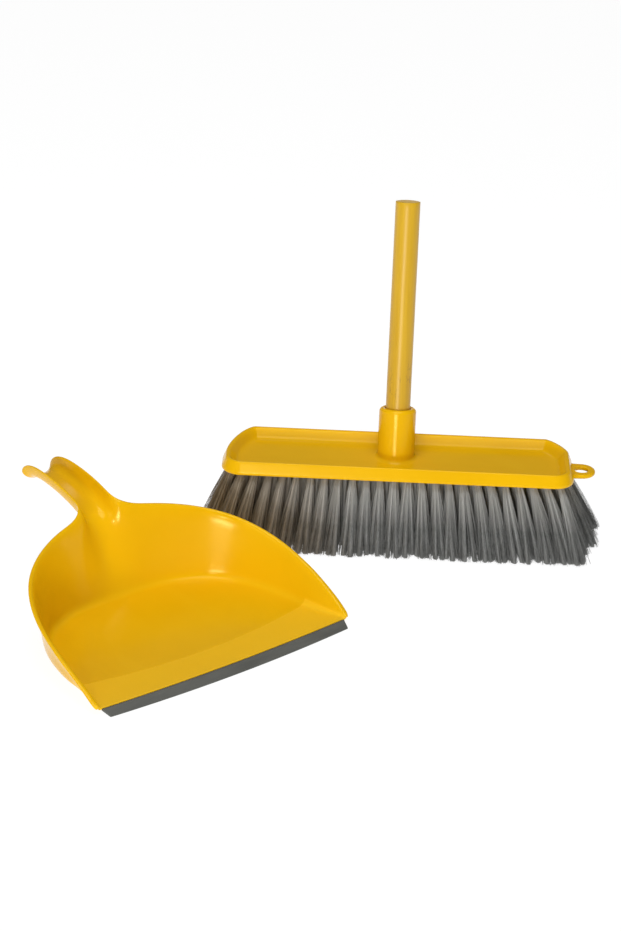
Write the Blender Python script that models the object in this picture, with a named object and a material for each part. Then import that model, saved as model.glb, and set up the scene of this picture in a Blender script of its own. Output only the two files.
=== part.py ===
"""Dust pan and long-handled brush, laid out side by side on the floor.

Units are metres, +Z is up.  The origin is the centre of the dust pan's flat
base on the floor.  X runs across the pan, +Y from its lip to its handle.  The
brush stands beside the pan on its bristles, turned about Z.  The pole screws
out of the brush along its own leaning axis.
"""
import math

import bmesh
import bpy
from mathutils import Matrix, Vector

MM = 0.001
GAP = 0.3 * MM

# Dust pan: overall
LIP_Y = -90.0 * MM
PAN_WALL = 2.2 * MM
RIM_HALF_WIDTH = 134.5 * MM
RIM_BULGE = 9.2 * MM
RIM_DEPTH = 179.6 * MM
RIM_FRONT_Z = 6.2 * MM
RIM_BACK_Z = 73.3 * MM
RIM_SIDE_POWER = 1.19
RIM_BACK_POWER = 0.616
RIM_RISE_POWER = 0.79
FLANGE = 4.2 * MM

# Dust pan: floor, ramp and base
BASE_HALF_WIDTH = 120.0 * MM
BASE_DEPTH = 150.0 * MM
BASE_POWER = 3.0
FLOOR_Z = 2.6 * MM
RAMP_FRONT_Z = 5.2 * MM
RAMP_UNDER = 2.0 * MM
RAMP_DEPTH = 30.0 * MM
RAMP_SIDE_DEPTH = 44.0 * MM
RAMP_FLARE = 8.0 * MM
LIP_BOW = 4.0 * MM
FILLET = 10.0 * MM
FOOT_PROUD = 1.4 * MM
PATCH_WIDTH_RATIO = 0.74
PATCH_DEPTH_LOSS = 0.22
PATCH_LOSS_REACH = 131.0 * MM
FOOT_DEPTH_LOSS = 0.146
BACK_FOOT_WIDTH_RATIO = 0.965
WALL_SHARES = (0.42, 0.72)

# Dust pan: flute and channel handle
CHANNEL_HALF_WIDTH = 15.8 * MM
CHANNEL_END_HALF_WIDTH = 14.4 * MM
CHANNEL_DEPTH = 14.6 * MM
CHANNEL_END_DEPTH = 12.0 * MM
CHANNEL_START = (182.5 * MM, 80.6 * MM)
CHANNEL_RISE = math.radians(19.5)
CHANNEL_CURL = math.radians(52.0)
CHANNEL_STRAIGHT = 66.0 * MM
CHANNEL_LENGTH = 102.5 * MM
CHANNEL_FILLET_START = 30.0 * MM

# Dust pan: control mesh. Side columns stand at depths behind the lip, back
# columns at widths from the middle, and the last ones at shares of the channel.
SIDE_DEPTHS = [0.0, 14.0, 29.0, 44.0, 52.0, 72.0, 92.0, 112.0, 128.0, 141.0]
BACK_WIDTHS = [81.0, 61.0, 44.0, 29.0]
CHANNEL_SHARES = [1.0, 0.86, 0.5, 0.0]
FLUTE_SHARES = [0.0, 0.3, 0.8, 1.05]
FLUTE_DEPTHS = {3: 1.6, 4: 6.5, 5: 8.5}
FLUTE_WIDTHS = {3: (24.0, 16.0, 8.0, 0.0), 4: (24.5, 16.5, 8.2, 0.0), 5: (24.0, 16.2, 8.2, 0.0)}
FLUTE_SINK = 0.25
FLUTE_FLARE = 2.2 * MM
FLUTE_TOP = {1.0: (173.6, 76.2), 0.86: (176.8, 67.0), 0.5: (179.8, 60.6), 0.0: (180.8, 59.4)}
CHANNEL_STATIONS = [0.0, 14.0, 29.0, 44.0, 57.0, 69.0, 81.0, 91.0, 97.0]
CHANNEL_TIP_DROP = [0.0, 0.0, 0.0, 0.0, 0.0, 0.0, 0.4, 1.6, 5.2]
SECTION_DROPS = {1.0: 0.0, 0.86: 0.78, 0.5: 1.0, 0.0: 1.0}
ROW_ROLES = ["floor", "floor", "foot", "low wall", "wall", "wall", "wall", "wall"]
FOLD_ROW = 3
FOLD_CREASE = 0.75
LIP_CREASE = 0.9
RIM_CREASE = 0.25

# Rubber lip
RUBBER_HALF_WIDTH = 127.4 * MM
RUBBER_FRONT_HALF_WIDTH = 124.6 * MM
RUBBER_REACH = 9.2 * MM
RUBBER_BOW = 1.6 * MM
RUBBER_TONGUE = 9.0 * MM
RUBBER_TOP = 4.6 * MM
RUBBER_STEPS = 14

# Brush: place and head
BRUSH_X = 277.3 * MM
BRUSH_Y = 14.3 * MM
BRUSH_TURN = math.radians(-41.6)
BRISTLE_LENGTH = 71.8 * MM
HEAD_HALF_LENGTH = 157.0 * MM
HEAD_HALF_DEPTH = 43.0 * MM
HEAD_FRONT = (18.0 * MM, 18.0 * MM, 2.0)
HEAD_BACK_RIGHT = (21.5 * MM, 29.0 * MM, 1.35)
HEAD_BACK_LEFT = (25.5 * MM, 55.0 * MM, 1.5)
SKIRT_HEIGHT = 11.5 * MM
SKIRT_LEAN = 3.8 * MM
RIM_WIDTH = 2.6 * MM
RECESS_DEPTH = 8.5 * MM
RECESS_SLOPE = 8.0 * MM
SKIRT_LIP = 1.6 * MM

# Brush: socket and hanging eye
SOCKET_X = -2.0 * MM
SOCKET_Y = 5.0 * MM
POLE_LEAN = math.radians(12.0)
SOCKET_LENGTH = 45.0 * MM
SOCKET_RADIUS = 16.6 * MM
SOCKET_FOOT_RADIUS = 18.0 * MM
SOCKET_CHAMFER = 2.0 * MM
SOCKET_SINK = 1.5 * MM
SOCKET_SEGMENTS = 32
EYE_REACH = 20.5 * MM
EYE_Y = -3.5 * MM
EYE_HALF_WIDTH = 12.5 * MM
EYE_THICKNESS = 4.0 * MM
EYE_HOLE_RADIUS = 6.0 * MM

# Pole and its screw-in ferrule
POLE_RADIUS = 11.0 * MM
POLE_ABOVE_SOCKET = 186.0 * MM
POLE_IN_SOCKET = 14.0 * MM
FERRULE_RADIUS = 9.0 * MM
FERRULE_LENGTH = 26.0 * MM
SPIGOT_RADIUS = 5.0 * MM
SPIGOT_LENGTH = 12.0 * MM
RUNNING_GAP = 0.35 * MM

# Bristle tufts
TUFT_COLUMNS = 24
TUFT_LEVELS = 2
TUFT_HALF_SPAN = 150.0 * MM
TUFT_SPLAY_LEFT = (28.0 * MM, 1.7)
TUFT_SPLAY_RIGHT = (38.0 * MM, 1.0)
TUFT_SIDE_GAP = 0.8 * MM
TUFT_ROOT_BACK = 38.5 * MM
TUFT_TIP_BACK = 55.0 * MM


def clear_scene():
    """Remove whatever the file holds."""
    for old in list(bpy.data.objects):
        bpy.data.objects.remove(old, do_unlink=True)


def make_material(name, colour, roughness, metallic=0.0):
    """A Principled material in one colour."""
    material = bpy.data.materials.new(name)
    material.use_nodes = True
    shader = material.node_tree.nodes["Principled BSDF"]
    shader.inputs["Base Color"].default_value = (*colour, 1.0)
    shader.inputs["Roughness"].default_value = roughness
    shader.inputs["Metallic"].default_value = metallic
    return material


def add_object(name, mesh, material):
    """Link a mesh as a named object."""
    mesh.materials.append(material)
    obj = bpy.data.objects.new(name, mesh)
    bpy.context.scene.collection.objects.link(obj)
    return obj


def mesh_from_bmesh(name, bm, smooth_angle=None):
    """Turn a bmesh into a mesh with outward faces."""
    bmesh.ops.recalc_face_normals(bm, faces=bm.faces)
    mesh = bpy.data.meshes.new(name)
    bm.to_mesh(mesh)
    bm.free()
    if smooth_angle is not None:
        mesh.shade_smooth()
        mesh.set_sharp_from_angle(angle=smooth_angle)
    return mesh


def skin_rings(name, rings, smooth_angle=math.radians(40.0)):
    """Close a stack of equal rings into one body, with flat ends."""
    bm = bmesh.new()
    rows = [[bm.verts.new(point) for point in ring] for ring in rings]
    count = len(rows[0])
    for lower, upper in zip(rows, rows[1:]):
        for i in range(count):
            j = (i + 1) % count
            bm.faces.new((lower[i], lower[j], upper[j], upper[i]))
    bm.faces.new(rows[0])
    bm.faces.new(list(reversed(rows[-1])))
    return mesh_from_bmesh(name, bm, smooth_angle)


def turned(name, profile, segments):
    """Turn (radius, height) points about Z; the ends lie on the axis."""
    bm = bmesh.new()
    columns = []
    for i in range(segments):
        angle = 2.0 * math.pi * i / segments
        spoke = (math.cos(angle), math.sin(angle))
        columns.append([
            bm.verts.new((radius * spoke[0], radius * spoke[1], height))
            for radius, height in profile[1:-1]
        ])
    first = bm.verts.new((0.0, 0.0, profile[0][1]))
    last = bm.verts.new((0.0, 0.0, profile[-1][1]))
    for i in range(segments):
        here = columns[i]
        after = columns[(i + 1) % segments]
        bm.faces.new((first, after[0], here[0]))
        for k in range(len(here) - 1):
            bm.faces.new((here[k], after[k], after[k + 1], here[k + 1]))
        bm.faces.new((last, here[-1], after[-1]))
    return mesh_from_bmesh(name, bm, math.radians(35.0))


# ---------------------------------------------------------------- dust pan

def rim_at(angle):
    """Outer edge of the rim, right half; angle 0 is the lip corner."""
    y = RIM_DEPTH * math.sin(angle) ** RIM_BACK_POWER
    x = (RIM_HALF_WIDTH + RIM_BULGE * math.sin(angle)) * math.cos(angle) ** RIM_SIDE_POWER
    z = RIM_FRONT_Z + (RIM_BACK_Z - RIM_FRONT_Z) * (y / RIM_DEPTH) ** RIM_RISE_POWER
    return Vector((x, y, z))


def rim_at_depth(y):
    """The rim's point at a distance behind the lip."""
    return rim_at(math.asin((y / RIM_DEPTH) ** (1.0 / RIM_BACK_POWER)))


def rim_at_width(x):
    """The rim's point at a distance from the middle plane, on its back part."""
    low = math.radians(25.0)
    high = math.radians(90.0)
    for _ in range(40):
        middle = 0.5 * (low + high)
        if rim_at(middle).x > x:
            low = middle
        else:
            high = middle
    return rim_at(high)


def floor_height(x, y):
    """Height of the pan's inside floor, with the ramp that rises to the lip."""
    climb = 1.0 - max(0.0, y) / ramp_fold(x)
    return FLOOR_Z + (RAMP_FRONT_Z - FLOOR_Z) * max(0.0, climb)


def ramp_fold(x):
    """Distance behind the lip of the curved fold where the ramp starts."""
    return RAMP_DEPTH + (RAMP_SIDE_DEPTH - RAMP_DEPTH) * min(1.0, abs(x) / BASE_HALF_WIDTH) ** 2


def lip_bow(x):
    """How far the lip's edge bows forward at a distance from the middle."""
    return LIP_BOW * max(0.0, 1.0 - (x / RUBBER_HALF_WIDTH) ** 2)


def bowed(x, y):
    """A point of the floor, with the ramp pulled forward to the bowed lip."""
    climb = max(0.0, 1.0 - y / ramp_fold(x))
    return Vector((x, y - lip_bow(x) * climb, floor_height(x, y)))


def base_width(y):
    """Half width of the wall's foot at a distance behind the lip."""
    width = BASE_HALF_WIDTH * max(0.0, 1.0 - (y / BASE_DEPTH) ** BASE_POWER) ** (1.0 / BASE_POWER)
    if y < RAMP_SIDE_DEPTH:
        width += RAMP_FLARE * (1.0 - y / RAMP_SIDE_DEPTH) ** 1.5
    return width


def base_depth(x):
    """Depth of the wall's foot at a distance from the middle plane."""
    return BASE_DEPTH * (1.0 - (x / BASE_HALF_WIDTH) ** BASE_POWER) ** (1.0 / BASE_POWER)


class Column:
    """One line of the pan's wall, from its foot to the rim, on the right half."""

    def __init__(self, outer, foot, lane=None):
        self.outer = outer
        self.foot = foot
        inward = Vector((foot.x - outer.x, foot.y - outer.y, 0.0))
        self.inward = inward.normalized()
        self.lane = lane


def side_columns():
    """Columns from the lip corner to the pan's back corner."""
    columns = []
    for depth in SIDE_DEPTHS:
        y = depth * MM
        outer = rim_at_depth(y)
        foot_y = y * (1.0 - FOOT_DEPTH_LOSS * (y / RIM_DEPTH) ** 2)
        foot_x = base_width(foot_y)
        columns.append(Column(outer, Vector((foot_x, foot_y, floor_height(foot_x, foot_y)))))
    return columns


def back_columns():
    """Columns from the back corner to the middle plane, the channel's last."""
    columns = []
    for width in BACK_WIDTHS:
        outer = rim_at_width(width * MM)
        foot_x = outer.x * BACK_FOOT_WIDTH_RATIO
        columns.append(Column(outer, Vector((foot_x, base_depth(foot_x), FLOOR_Z))))
    for lane, share in enumerate(CHANNEL_SHARES):
        x = CHANNEL_HALF_WIDTH * share
        outer = rim_at_width(x)
        outer.x = x
        columns.append(Column(outer, Vector((x, base_depth(x), FLOOR_Z)), lane))
    return columns


def channel_path(distance):
    """Top edge of the channel's walls: place (y, z) and heading at a distance."""
    steps = 40
    y, z = CHANNEL_START
    heading = CHANNEL_RISE
    for i in range(steps):
        at = distance * (i + 0.5) / steps
        if at < CHANNEL_STRAIGHT:
            heading = CHANNEL_RISE * (1.0 - at / CHANNEL_STRAIGHT)
        else:
            curl = (at - CHANNEL_STRAIGHT) / (CHANNEL_LENGTH - CHANNEL_STRAIGHT)
            heading = -CHANNEL_CURL * curl ** 1.3
        y += math.cos(heading) * distance / steps
        z += math.sin(heading) * distance / steps
    return y, z, heading


def channel_point(station, share):
    """A point of the channel's inside, by station along it and share across."""
    distance = CHANNEL_STATIONS[station] * MM
    y, z, heading = channel_path(distance)
    along = distance / CHANNEL_LENGTH
    half = CHANNEL_HALF_WIDTH + (CHANNEL_END_HALF_WIDTH - CHANNEL_HALF_WIDTH) * along ** 2
    depth = CHANNEL_DEPTH + (CHANNEL_END_DEPTH - CHANNEL_DEPTH) * along
    drop = max(depth * SECTION_DROPS[share], CHANNEL_TIP_DROP[station] * MM)
    return Vector((half * share, y + drop * math.sin(heading), z - drop * math.cos(heading)))


def wall_rows(column):
    """Inside points of one column: floor edge, corner, wall, rim and flange."""
    foot = column.foot
    outer = column.outer
    top = outer + column.inward * FLANGE + Vector((0.0, 0.0, 0.6 * MM))
    height = max(top.z - foot.z, 1.0 * MM)
    corner = min(0.26, 9.0 * MM / height)
    patch_y = foot.y * (1.0 - PATCH_DEPTH_LOSS * min(1.0, foot.y / PATCH_LOSS_REACH))
    if foot.y <= RAMP_SIDE_DEPTH * 1.01:
        patch_y = foot.y * ramp_fold(foot.x * PATCH_WIDTH_RATIO) / RAMP_SIDE_DEPTH
    patch_x = foot.x * PATCH_WIDTH_RATIO
    inward = Vector((patch_x - foot.x, patch_y - foot.y, 0.0)).normalized()
    edge = foot + inward * FILLET
    rows = [bowed(patch_x, patch_y), bowed(edge.x, edge.y), foot.copy()]
    for share in (corner, *WALL_SHARES, 1.0):
        rows.append(foot.lerp(top, share))
    rows.append(outer.copy())
    if column.lane is not None:
        share = CHANNEL_SHARES[column.lane]
        for row, depth in FLUTE_DEPTHS.items():
            depth *= FLUTE_SHARES[column.lane]
            rows[row] += Vector((0.0, depth, -FLUTE_SINK * depth)) * MM
            rows[row].x = FLUTE_WIDTHS[row][column.lane] * MM
        y, z = FLUTE_TOP[share]
        rows[6] = Vector((CHANNEL_HALF_WIDTH * share + FLUTE_FLARE * share ** 4, y * MM, z * MM))
        rows[7] = channel_point(0, share)
    elif outer.x < CHANNEL_FILLET_START:
        rows[6] += Vector((0.0, 0.6 * MM, 1.2 * MM))
        rows[7] = rows[6].lerp(rows[7], 0.45)
        rows[7].z += 0.8 * MM
    return rows


def pan_cage():
    """Control mesh of the pan's inside: points, their roles, faces and folded edges."""
    points = []
    roles = []
    faces = []
    folds = []
    sides = [wall_rows(column) for column in side_columns()]
    backs = [wall_rows(column) for column in back_columns()]
    half = sides + backs
    ring = half + [[mirror(point) for point in rows] for rows in reversed(half[:-1])]
    count = len(ring)
    side_count = len(sides)
    index = {}

    def vertex(key, point, role):
        index[key] = len(points)
        points.append(point)
        roles.append(role)

    for c, rows in enumerate(ring):
        for r, point in enumerate(rows):
            vertex((c, r), point, ROW_ROLES[r])
    for c in range(count - 1):
        for r in range(7):
            faces.append((index[c, r], index[c, r + 1], index[c + 1, r + 1], index[c + 1, r]))
    for c in (FOLD_ROW, count - 1 - FOLD_ROW):
        for r in range(2):
            folds.append((index[c, r], index[c, r + 1]))

    # The floor inside the ring, a grid whose edges are the ring's first row.
    first_back = side_count - 1
    across = list(range(first_back, count - first_back))
    grid = {}
    for k in range(side_count):
        for i, c in enumerate(across):
            if k == side_count - 1:
                grid[k, i] = index[c, 0]
            elif i == 0:
                grid[k, i] = index[k, 0]
            elif i == len(across) - 1:
                grid[k, i] = index[count - 1 - k, 0]
            else:
                point = floor_point(k, ring[k][0], ring[first_back][0], ring[c][0], ring[FOLD_ROW][0])
                vertex(("floor", k, i), point, "floor")
                grid[k, i] = index["floor", k, i]
    for k in range(side_count - 1):
        for i in range(len(across) - 1):
            faces.append((grid[k, i], grid[k + 1, i], grid[k + 1, i + 1], grid[k, i + 1]))
    for i in range(len(across) - 1):
        folds.append((grid[FOLD_ROW, i], grid[FOLD_ROW, i + 1]))

    # The channel handle goes on from the middle columns of the back.
    middle = count // 2
    reach = len(CHANNEL_SHARES) - 1
    lane = {}
    for offset in range(-reach, reach + 1):
        c = middle + offset
        lane[0, offset] = index[c, 7]
        for station in range(1, len(CHANNEL_STATIONS)):
            point = channel_point(station, CHANNEL_SHARES[reach - abs(offset)])
            if offset > 0:
                point = mirror(point)
            vertex(("channel", station, offset), point, "wall")
            lane[station, offset] = index["channel", station, offset]
    for station in range(len(CHANNEL_STATIONS) - 1):
        for offset in range(-reach, reach):
            faces.append((lane[station, offset], lane[station + 1, offset],
                          lane[station + 1, offset + 1], lane[station, offset + 1]))
    return points, roles, faces, folds


def mirror(point):
    """The point on the pan's other half."""
    return Vector((-point.x, point.y, point.z))


def floor_point(row, side, corner, back, fold_side):
    """A point of the floor's grid, between the side, the back and the lip."""
    x = back.x * side.x / corner.x
    fold = ramp_fold(x)
    if row <= FOLD_ROW:
        return bowed(x, fold * row / FOLD_ROW)
    share = (side.y - fold_side.y) / (corner.y - fold_side.y)
    y = fold + (back.y - fold) * share
    return Vector((x, y, floor_height(x, y)))


def outside_of(vertex, role):
    """The outside point that backs a point of the pan's inside."""
    inner = vertex.co
    outward = Vector((-vertex.normal.x, -vertex.normal.y, 0.0))
    if role in ("floor", "foot"):
        on_ramp = inner.y < ramp_fold(inner.x) - 1.0 * MM
        point = Vector((inner.x, inner.y, inner.z - RAMP_UNDER if on_ramp else 0.0))
        if role == "foot":
            point += outward.normalized() * PAN_WALL
    else:
        point = inner - vertex.normal * PAN_WALL
    if role in ("foot", "low wall") and inner.y > RAMP_SIDE_DEPTH + 2.0 * MM:
        point += outward.normalized() * FOOT_PROUD
    if inner.y < 0.1 * MM:
        point.y = inner.y
    return point


def thicken_pan(points, roles, faces, folds):
    """Close the pan's inside with an outside and an edge all round it."""
    bm = bmesh.new()
    inside = [bm.verts.new(point) for point in points]
    for face in faces:
        bm.faces.new([inside[i] for i in face])
    bm.normal_update()
    if sum(face.normal.z for face in bm.faces) < 0.0:
        bmesh.ops.reverse_faces(bm, faces=bm.faces)
        bm.normal_update()
    border = [tuple(edge.verts) for edge in bm.edges if len(edge.link_faces) == 1]
    inner_faces = list(bm.faces)
    backing = [outside_of(vertex, role) for vertex, role in zip(inside, roles)]
    outside = {vertex: bm.verts.new(point) for vertex, point in zip(inside, backing)}
    for face in inner_faces:
        bm.faces.new([outside[vertex] for vertex in reversed(face.verts)])
    for first, second in border:
        bm.faces.new((first, second, outside[second], outside[first]))
    crease = bm.edges.layers.float.new("crease_edge")
    for first, second in folds:
        edge_ends = (inside[first], inside[second])
        bm.edges.get(edge_ends)[crease] = FOLD_CREASE
        bm.edges.get([outside[end] for end in edge_ends])[crease] = FOLD_CREASE
    for first, second in border:
        at_lip = max(first.co.y, second.co.y) < 0.1 * MM
        weight = LIP_CREASE if at_lip else RIM_CREASE
        bm.edges.get((first, second))[crease] = weight
        bm.edges.get((outside[first], outside[second]))[crease] = weight
    bmesh.ops.translate(bm, verts=bm.verts, vec=(0.0, LIP_Y, 0.0))
    return mesh_from_bmesh("pan_shell", bm, math.radians(60.0))


def build_pan(material):
    """The dust pan: one moulding with its channel handle."""
    mesh = thicken_pan(*pan_cage())
    obj = add_object("pan_shell", mesh, material)
    smooth = obj.modifiers.new("Smooth", "SUBSURF")
    smooth.levels = 1
    smooth.render_levels = 1
    return obj


def build_rubber_lip(material):
    """The soft strip along the pan's front edge, with a tongue under the ramp."""
    under = RAMP_FRONT_Z - RAMP_UNDER - GAP
    slope = (RAMP_FRONT_Z - FLOOR_Z) / RAMP_SIDE_DEPTH
    tongue_z = under - slope * RUBBER_TONGUE * RAMP_SIDE_DEPTH / RAMP_DEPTH
    profile = [
        (RUBBER_TONGUE, 0.0),
        (RUBBER_TONGUE, tongue_z),
        (0.0, under),
        (-GAP, under),
        (-GAP, RUBBER_TOP),
        (-1.6 * MM, RUBBER_TOP),
        (-RUBBER_REACH, 1.3 * MM),
        (-RUBBER_REACH, 0.4 * MM),
        (-RUBBER_REACH + 0.6 * MM, 0.0),
    ]
    rings = []
    for i in range(RUBBER_STEPS + 1):
        side = 2.0 * i / RUBBER_STEPS - 1.0
        ring = []
        for y, z in profile:
            forward = min(1.0, max(0.0, -y / RUBBER_REACH))
            half = RUBBER_HALF_WIDTH + (RUBBER_FRONT_HALF_WIDTH - RUBBER_HALF_WIDTH) * forward
            if y > 0.0:
                half = RUBBER_HALF_WIDTH - 6.0 * MM
            bow = lip_bow(side * half) + RUBBER_BOW * forward * (1.0 - side * side)
            ring.append(Vector((side * half, LIP_Y + y - bow, z)))
        rings.append(ring)
    mesh = skin_rings("rubber_lip", rings)
    return add_object("rubber_lip", mesh, material)


# ------------------------------------------------------------------ brush

def arc(centre, radii, start, end, steps):
    """Points of an elliptical arc about a centre, both ends included."""
    points = []
    for i in range(steps + 1):
        angle = start + (end - start) * i / steps
        points.append((centre[0] + radii[0] * math.cos(angle), centre[1] + radii[1] * math.sin(angle)))
    return points


def corner_arc(corner, inset, steps):
    """A corner of the head from its end to its side, as drops from the full size.

    A corner is (across, deep, power): power 2 is an ellipse, 1 a straight chamfer.
    """
    across, deep, power = corner
    slant = math.hypot(across, deep)
    a = across - inset * (1.0 - (2.0 - power) * (slant - across) / deep)
    d = deep - inset * (1.0 - (2.0 - power) * (slant - deep) / across)
    a = max(a, 3.0 * MM)
    d = max(d, 4.0 * MM)
    points = []
    for i in range(steps + 1):
        turn = 0.5 * math.pi * i / steps
        x = a * (1.0 - max(0.0, math.cos(turn)) ** (2.0 / power))
        y = d * (1.0 - math.sin(turn) ** (2.0 / power))
        points.append((x + inset, y + inset))
    return points


def head_outline(inset):
    """Plan outline of the brush head, anticlockwise, pulled in by an inset."""
    length = HEAD_HALF_LENGTH
    depth = HEAD_HALF_DEPTH
    front = corner_arc(HEAD_FRONT, inset, 5)
    right = corner_arc(HEAD_BACK_RIGHT, inset, 7)
    left = corner_arc(HEAD_BACK_LEFT, inset, 7)
    outline = [(length - x, y - depth) for x, y in reversed(front)]
    outline += [(length - x, depth - y) for x, y in right]
    outline += [(x - length, depth - y) for x, y in reversed(left)]
    return outline + [(x - length, y - depth) for x, y in front]


def head_ring(inset, height):
    """The head's outline at a height above the floor."""
    return [Vector((x, y, height)) for x, y in head_outline(inset)]


def pole_frame():
    """Matrix whose Z runs up the pole, from the socket's foot on the recess floor."""
    foot = Vector((SOCKET_X, SOCKET_Y, recess_floor()))
    return Matrix.Translation(foot) @ Matrix.Rotation(-POLE_LEAN, 4, "X")


def recess_floor():
    """Height of the floor of the recess in the head's top."""
    return BRISTLE_LENGTH + SKIRT_HEIGHT - RECESS_DEPTH


def head_body():
    """The moulded head: a flat underside, a skirt, and a raised rim round a recess."""
    rim_z = BRISTLE_LENGTH + SKIRT_HEIGHT
    inner = SKIRT_LEAN + RIM_WIDTH
    rings = [
        head_ring(SKIRT_LIP, BRISTLE_LENGTH),
        head_ring(0.0, BRISTLE_LENGTH + 1.0 * MM),
        head_ring(0.6 * MM, BRISTLE_LENGTH + 3.0 * MM),
        head_ring(SKIRT_LEAN - 0.6 * MM, rim_z - 1.2 * MM),
        head_ring(SKIRT_LEAN + 0.5 * MM, rim_z),
        head_ring(inner, rim_z - 0.2 * MM),
        head_ring(inner + 1.2 * MM, rim_z - 1.4 * MM),
        head_ring(inner + RECESS_SLOPE - 1.5 * MM, recess_floor() + 0.8 * MM),
        head_ring(inner + RECESS_SLOPE, recess_floor()),
    ]
    return skin_rings("head_body", rings)


def socket_ring(radius, height, above_floor):
    """A ring of the socket: square to its axis, or level with the recess floor."""
    ring = []
    for i in range(SOCKET_SEGMENTS):
        angle = 2.0 * math.pi * i / SOCKET_SEGMENTS
        y = radius * math.sin(angle)
        z = height
        if above_floor:
            z = (height + y * math.sin(POLE_LEAN)) / math.cos(POLE_LEAN)
        ring.append(Vector((radius * math.cos(angle), y, z)))
    return ring


def socket_body():
    """The leaning socket, solid, flared where it meets the recess floor."""
    rings = [
        socket_ring(SOCKET_FOOT_RADIUS, -SOCKET_SINK, True),
        socket_ring(SOCKET_FOOT_RADIUS, 1.2 * MM, True),
        socket_ring(SOCKET_RADIUS + 0.5 * MM, 4.5 * MM, True),
        socket_ring(SOCKET_RADIUS, SOCKET_LENGTH - SOCKET_CHAMFER, False),
        socket_ring(SOCKET_RADIUS - SOCKET_CHAMFER, SOCKET_LENGTH, False),
    ]
    return skin_rings("socket_body", rings, math.radians(35.0))


def bore_cutter():
    """The space inside the socket for the pole's end and its ferrule."""
    shoulder = SOCKET_LENGTH - POLE_IN_SOCKET
    bottom = shoulder - FERRULE_LENGTH - 2.0 * GAP
    profile = [
        (0.0, bottom),
        (FERRULE_RADIUS + RUNNING_GAP, bottom),
        (FERRULE_RADIUS + RUNNING_GAP, shoulder - 0.6 * MM),
        (POLE_RADIUS + RUNNING_GAP, shoulder - 0.6 * MM),
        (POLE_RADIUS + RUNNING_GAP, SOCKET_LENGTH - 1.2 * MM),
        (POLE_RADIUS + 1.4 * MM, SOCKET_LENGTH + 1.0 * MM),
        (0.0, SOCKET_LENGTH + 1.0 * MM),
    ]
    return turned("bore_cutter", profile, 32)


def eye_body():
    """The flat hanging tab at the head's right end, with its hole."""
    low = BRISTLE_LENGTH - 1.6 * MM
    high = low + EYE_THICKNESS
    root = HEAD_HALF_LENGTH - 4.0 * MM
    nose = HEAD_HALF_LENGTH + EYE_REACH - EYE_HALF_WIDTH
    outline = [(root, -EYE_HALF_WIDTH - 1.0 * MM)]
    outline += arc((nose, 0.0), (EYE_HALF_WIDTH, EYE_HALF_WIDTH), -0.5 * math.pi, 0.5 * math.pi, 14)
    outline += [(root, EYE_HALF_WIDTH + 1.0 * MM)]
    rim = 0.8 * MM
    rings = []
    for inset, height in ((rim, low), (0.0, low + rim), (0.0, high - rim), (rim, high)):
        scale = 1.0 - inset / EYE_HALF_WIDTH
        rings.append([
            Vector((nose + (x - nose) * scale if x > nose else x, EYE_Y + y * scale, height))
            for x, y in outline
        ])
    return skin_rings("eye_body", rings)


def eye_cutter():
    """The hanging hole."""
    centre_x = HEAD_HALF_LENGTH + EYE_REACH - EYE_HALF_WIDTH
    rings = []
    for height in (BRISTLE_LENGTH - 6.0 * MM, BRISTLE_LENGTH + 8.0 * MM):
        circle = arc((centre_x, EYE_Y), (EYE_HOLE_RADIUS, EYE_HOLE_RADIUS), 0.0, 2.0 * math.pi, 24)[:-1]
        rings.append([Vector((x, y, height)) for x, y in circle])
    return skin_rings("eye_cutter", rings)


def add_boolean(obj, operation, mesh, matrix):
    """Union or cut with a hidden wire object."""
    tool = bpy.data.objects.new(mesh.name, mesh)
    bpy.context.scene.collection.objects.link(tool)
    tool.matrix_world = matrix
    tool.display_type = "WIRE"
    tool.hide_render = True
    modifier = obj.modifiers.new(mesh.name, "BOOLEAN")
    modifier.operation = operation
    modifier.object = tool


def build_head(material, place):
    """The brush head with its socket and hanging eye, one moulding."""
    obj = add_object("brush_head", head_body(), material)
    obj.matrix_world = place
    add_boolean(obj, "UNION", socket_body(), place @ pole_frame())
    add_boolean(obj, "UNION", eye_body(), place)
    add_boolean(obj, "DIFFERENCE", bore_cutter(), place @ pole_frame())
    add_boolean(obj, "DIFFERENCE", eye_cutter(), place)
    return obj


def build_ferrule(material, place):
    """The threaded ferrule on the pole's end, with the spigot that holds it."""
    shoulder = SOCKET_LENGTH - POLE_IN_SOCKET
    bottom = shoulder - FERRULE_LENGTH - GAP
    top = shoulder - GAP
    profile = [
        (0.0, bottom),
        (FERRULE_RADIUS - 1.5 * MM, bottom),
        (FERRULE_RADIUS, bottom + 1.5 * MM),
        (FERRULE_RADIUS, top),
        (SPIGOT_RADIUS, top),
        (SPIGOT_RADIUS, top + SPIGOT_LENGTH),
        (0.0, top + SPIGOT_LENGTH),
    ]
    obj = add_object("pole_ferrule", turned("pole_ferrule", profile, 32), material)
    obj.matrix_world = place @ pole_frame()
    return obj


def build_pole(material, place):
    """The wooden pole, drilled at its foot for the ferrule's spigot."""
    shoulder = SOCKET_LENGTH - POLE_IN_SOCKET
    top = SOCKET_LENGTH + POLE_ABOVE_SOCKET
    drill = shoulder + SPIGOT_LENGTH + 1.0 * MM
    profile = [
        (0.0, drill),
        (SPIGOT_RADIUS + RUNNING_GAP, drill),
        (SPIGOT_RADIUS + RUNNING_GAP, shoulder),
        (POLE_RADIUS - 0.5 * MM, shoulder),
        (POLE_RADIUS, shoulder + 0.5 * MM),
        (POLE_RADIUS, top - 0.5 * MM),
        (POLE_RADIUS - 0.5 * MM, top),
        (0.0, top),
    ]
    obj = add_object("pole", turned("pole", profile, 32), material)
    obj.matrix_world = place @ pole_frame()
    return obj


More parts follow.
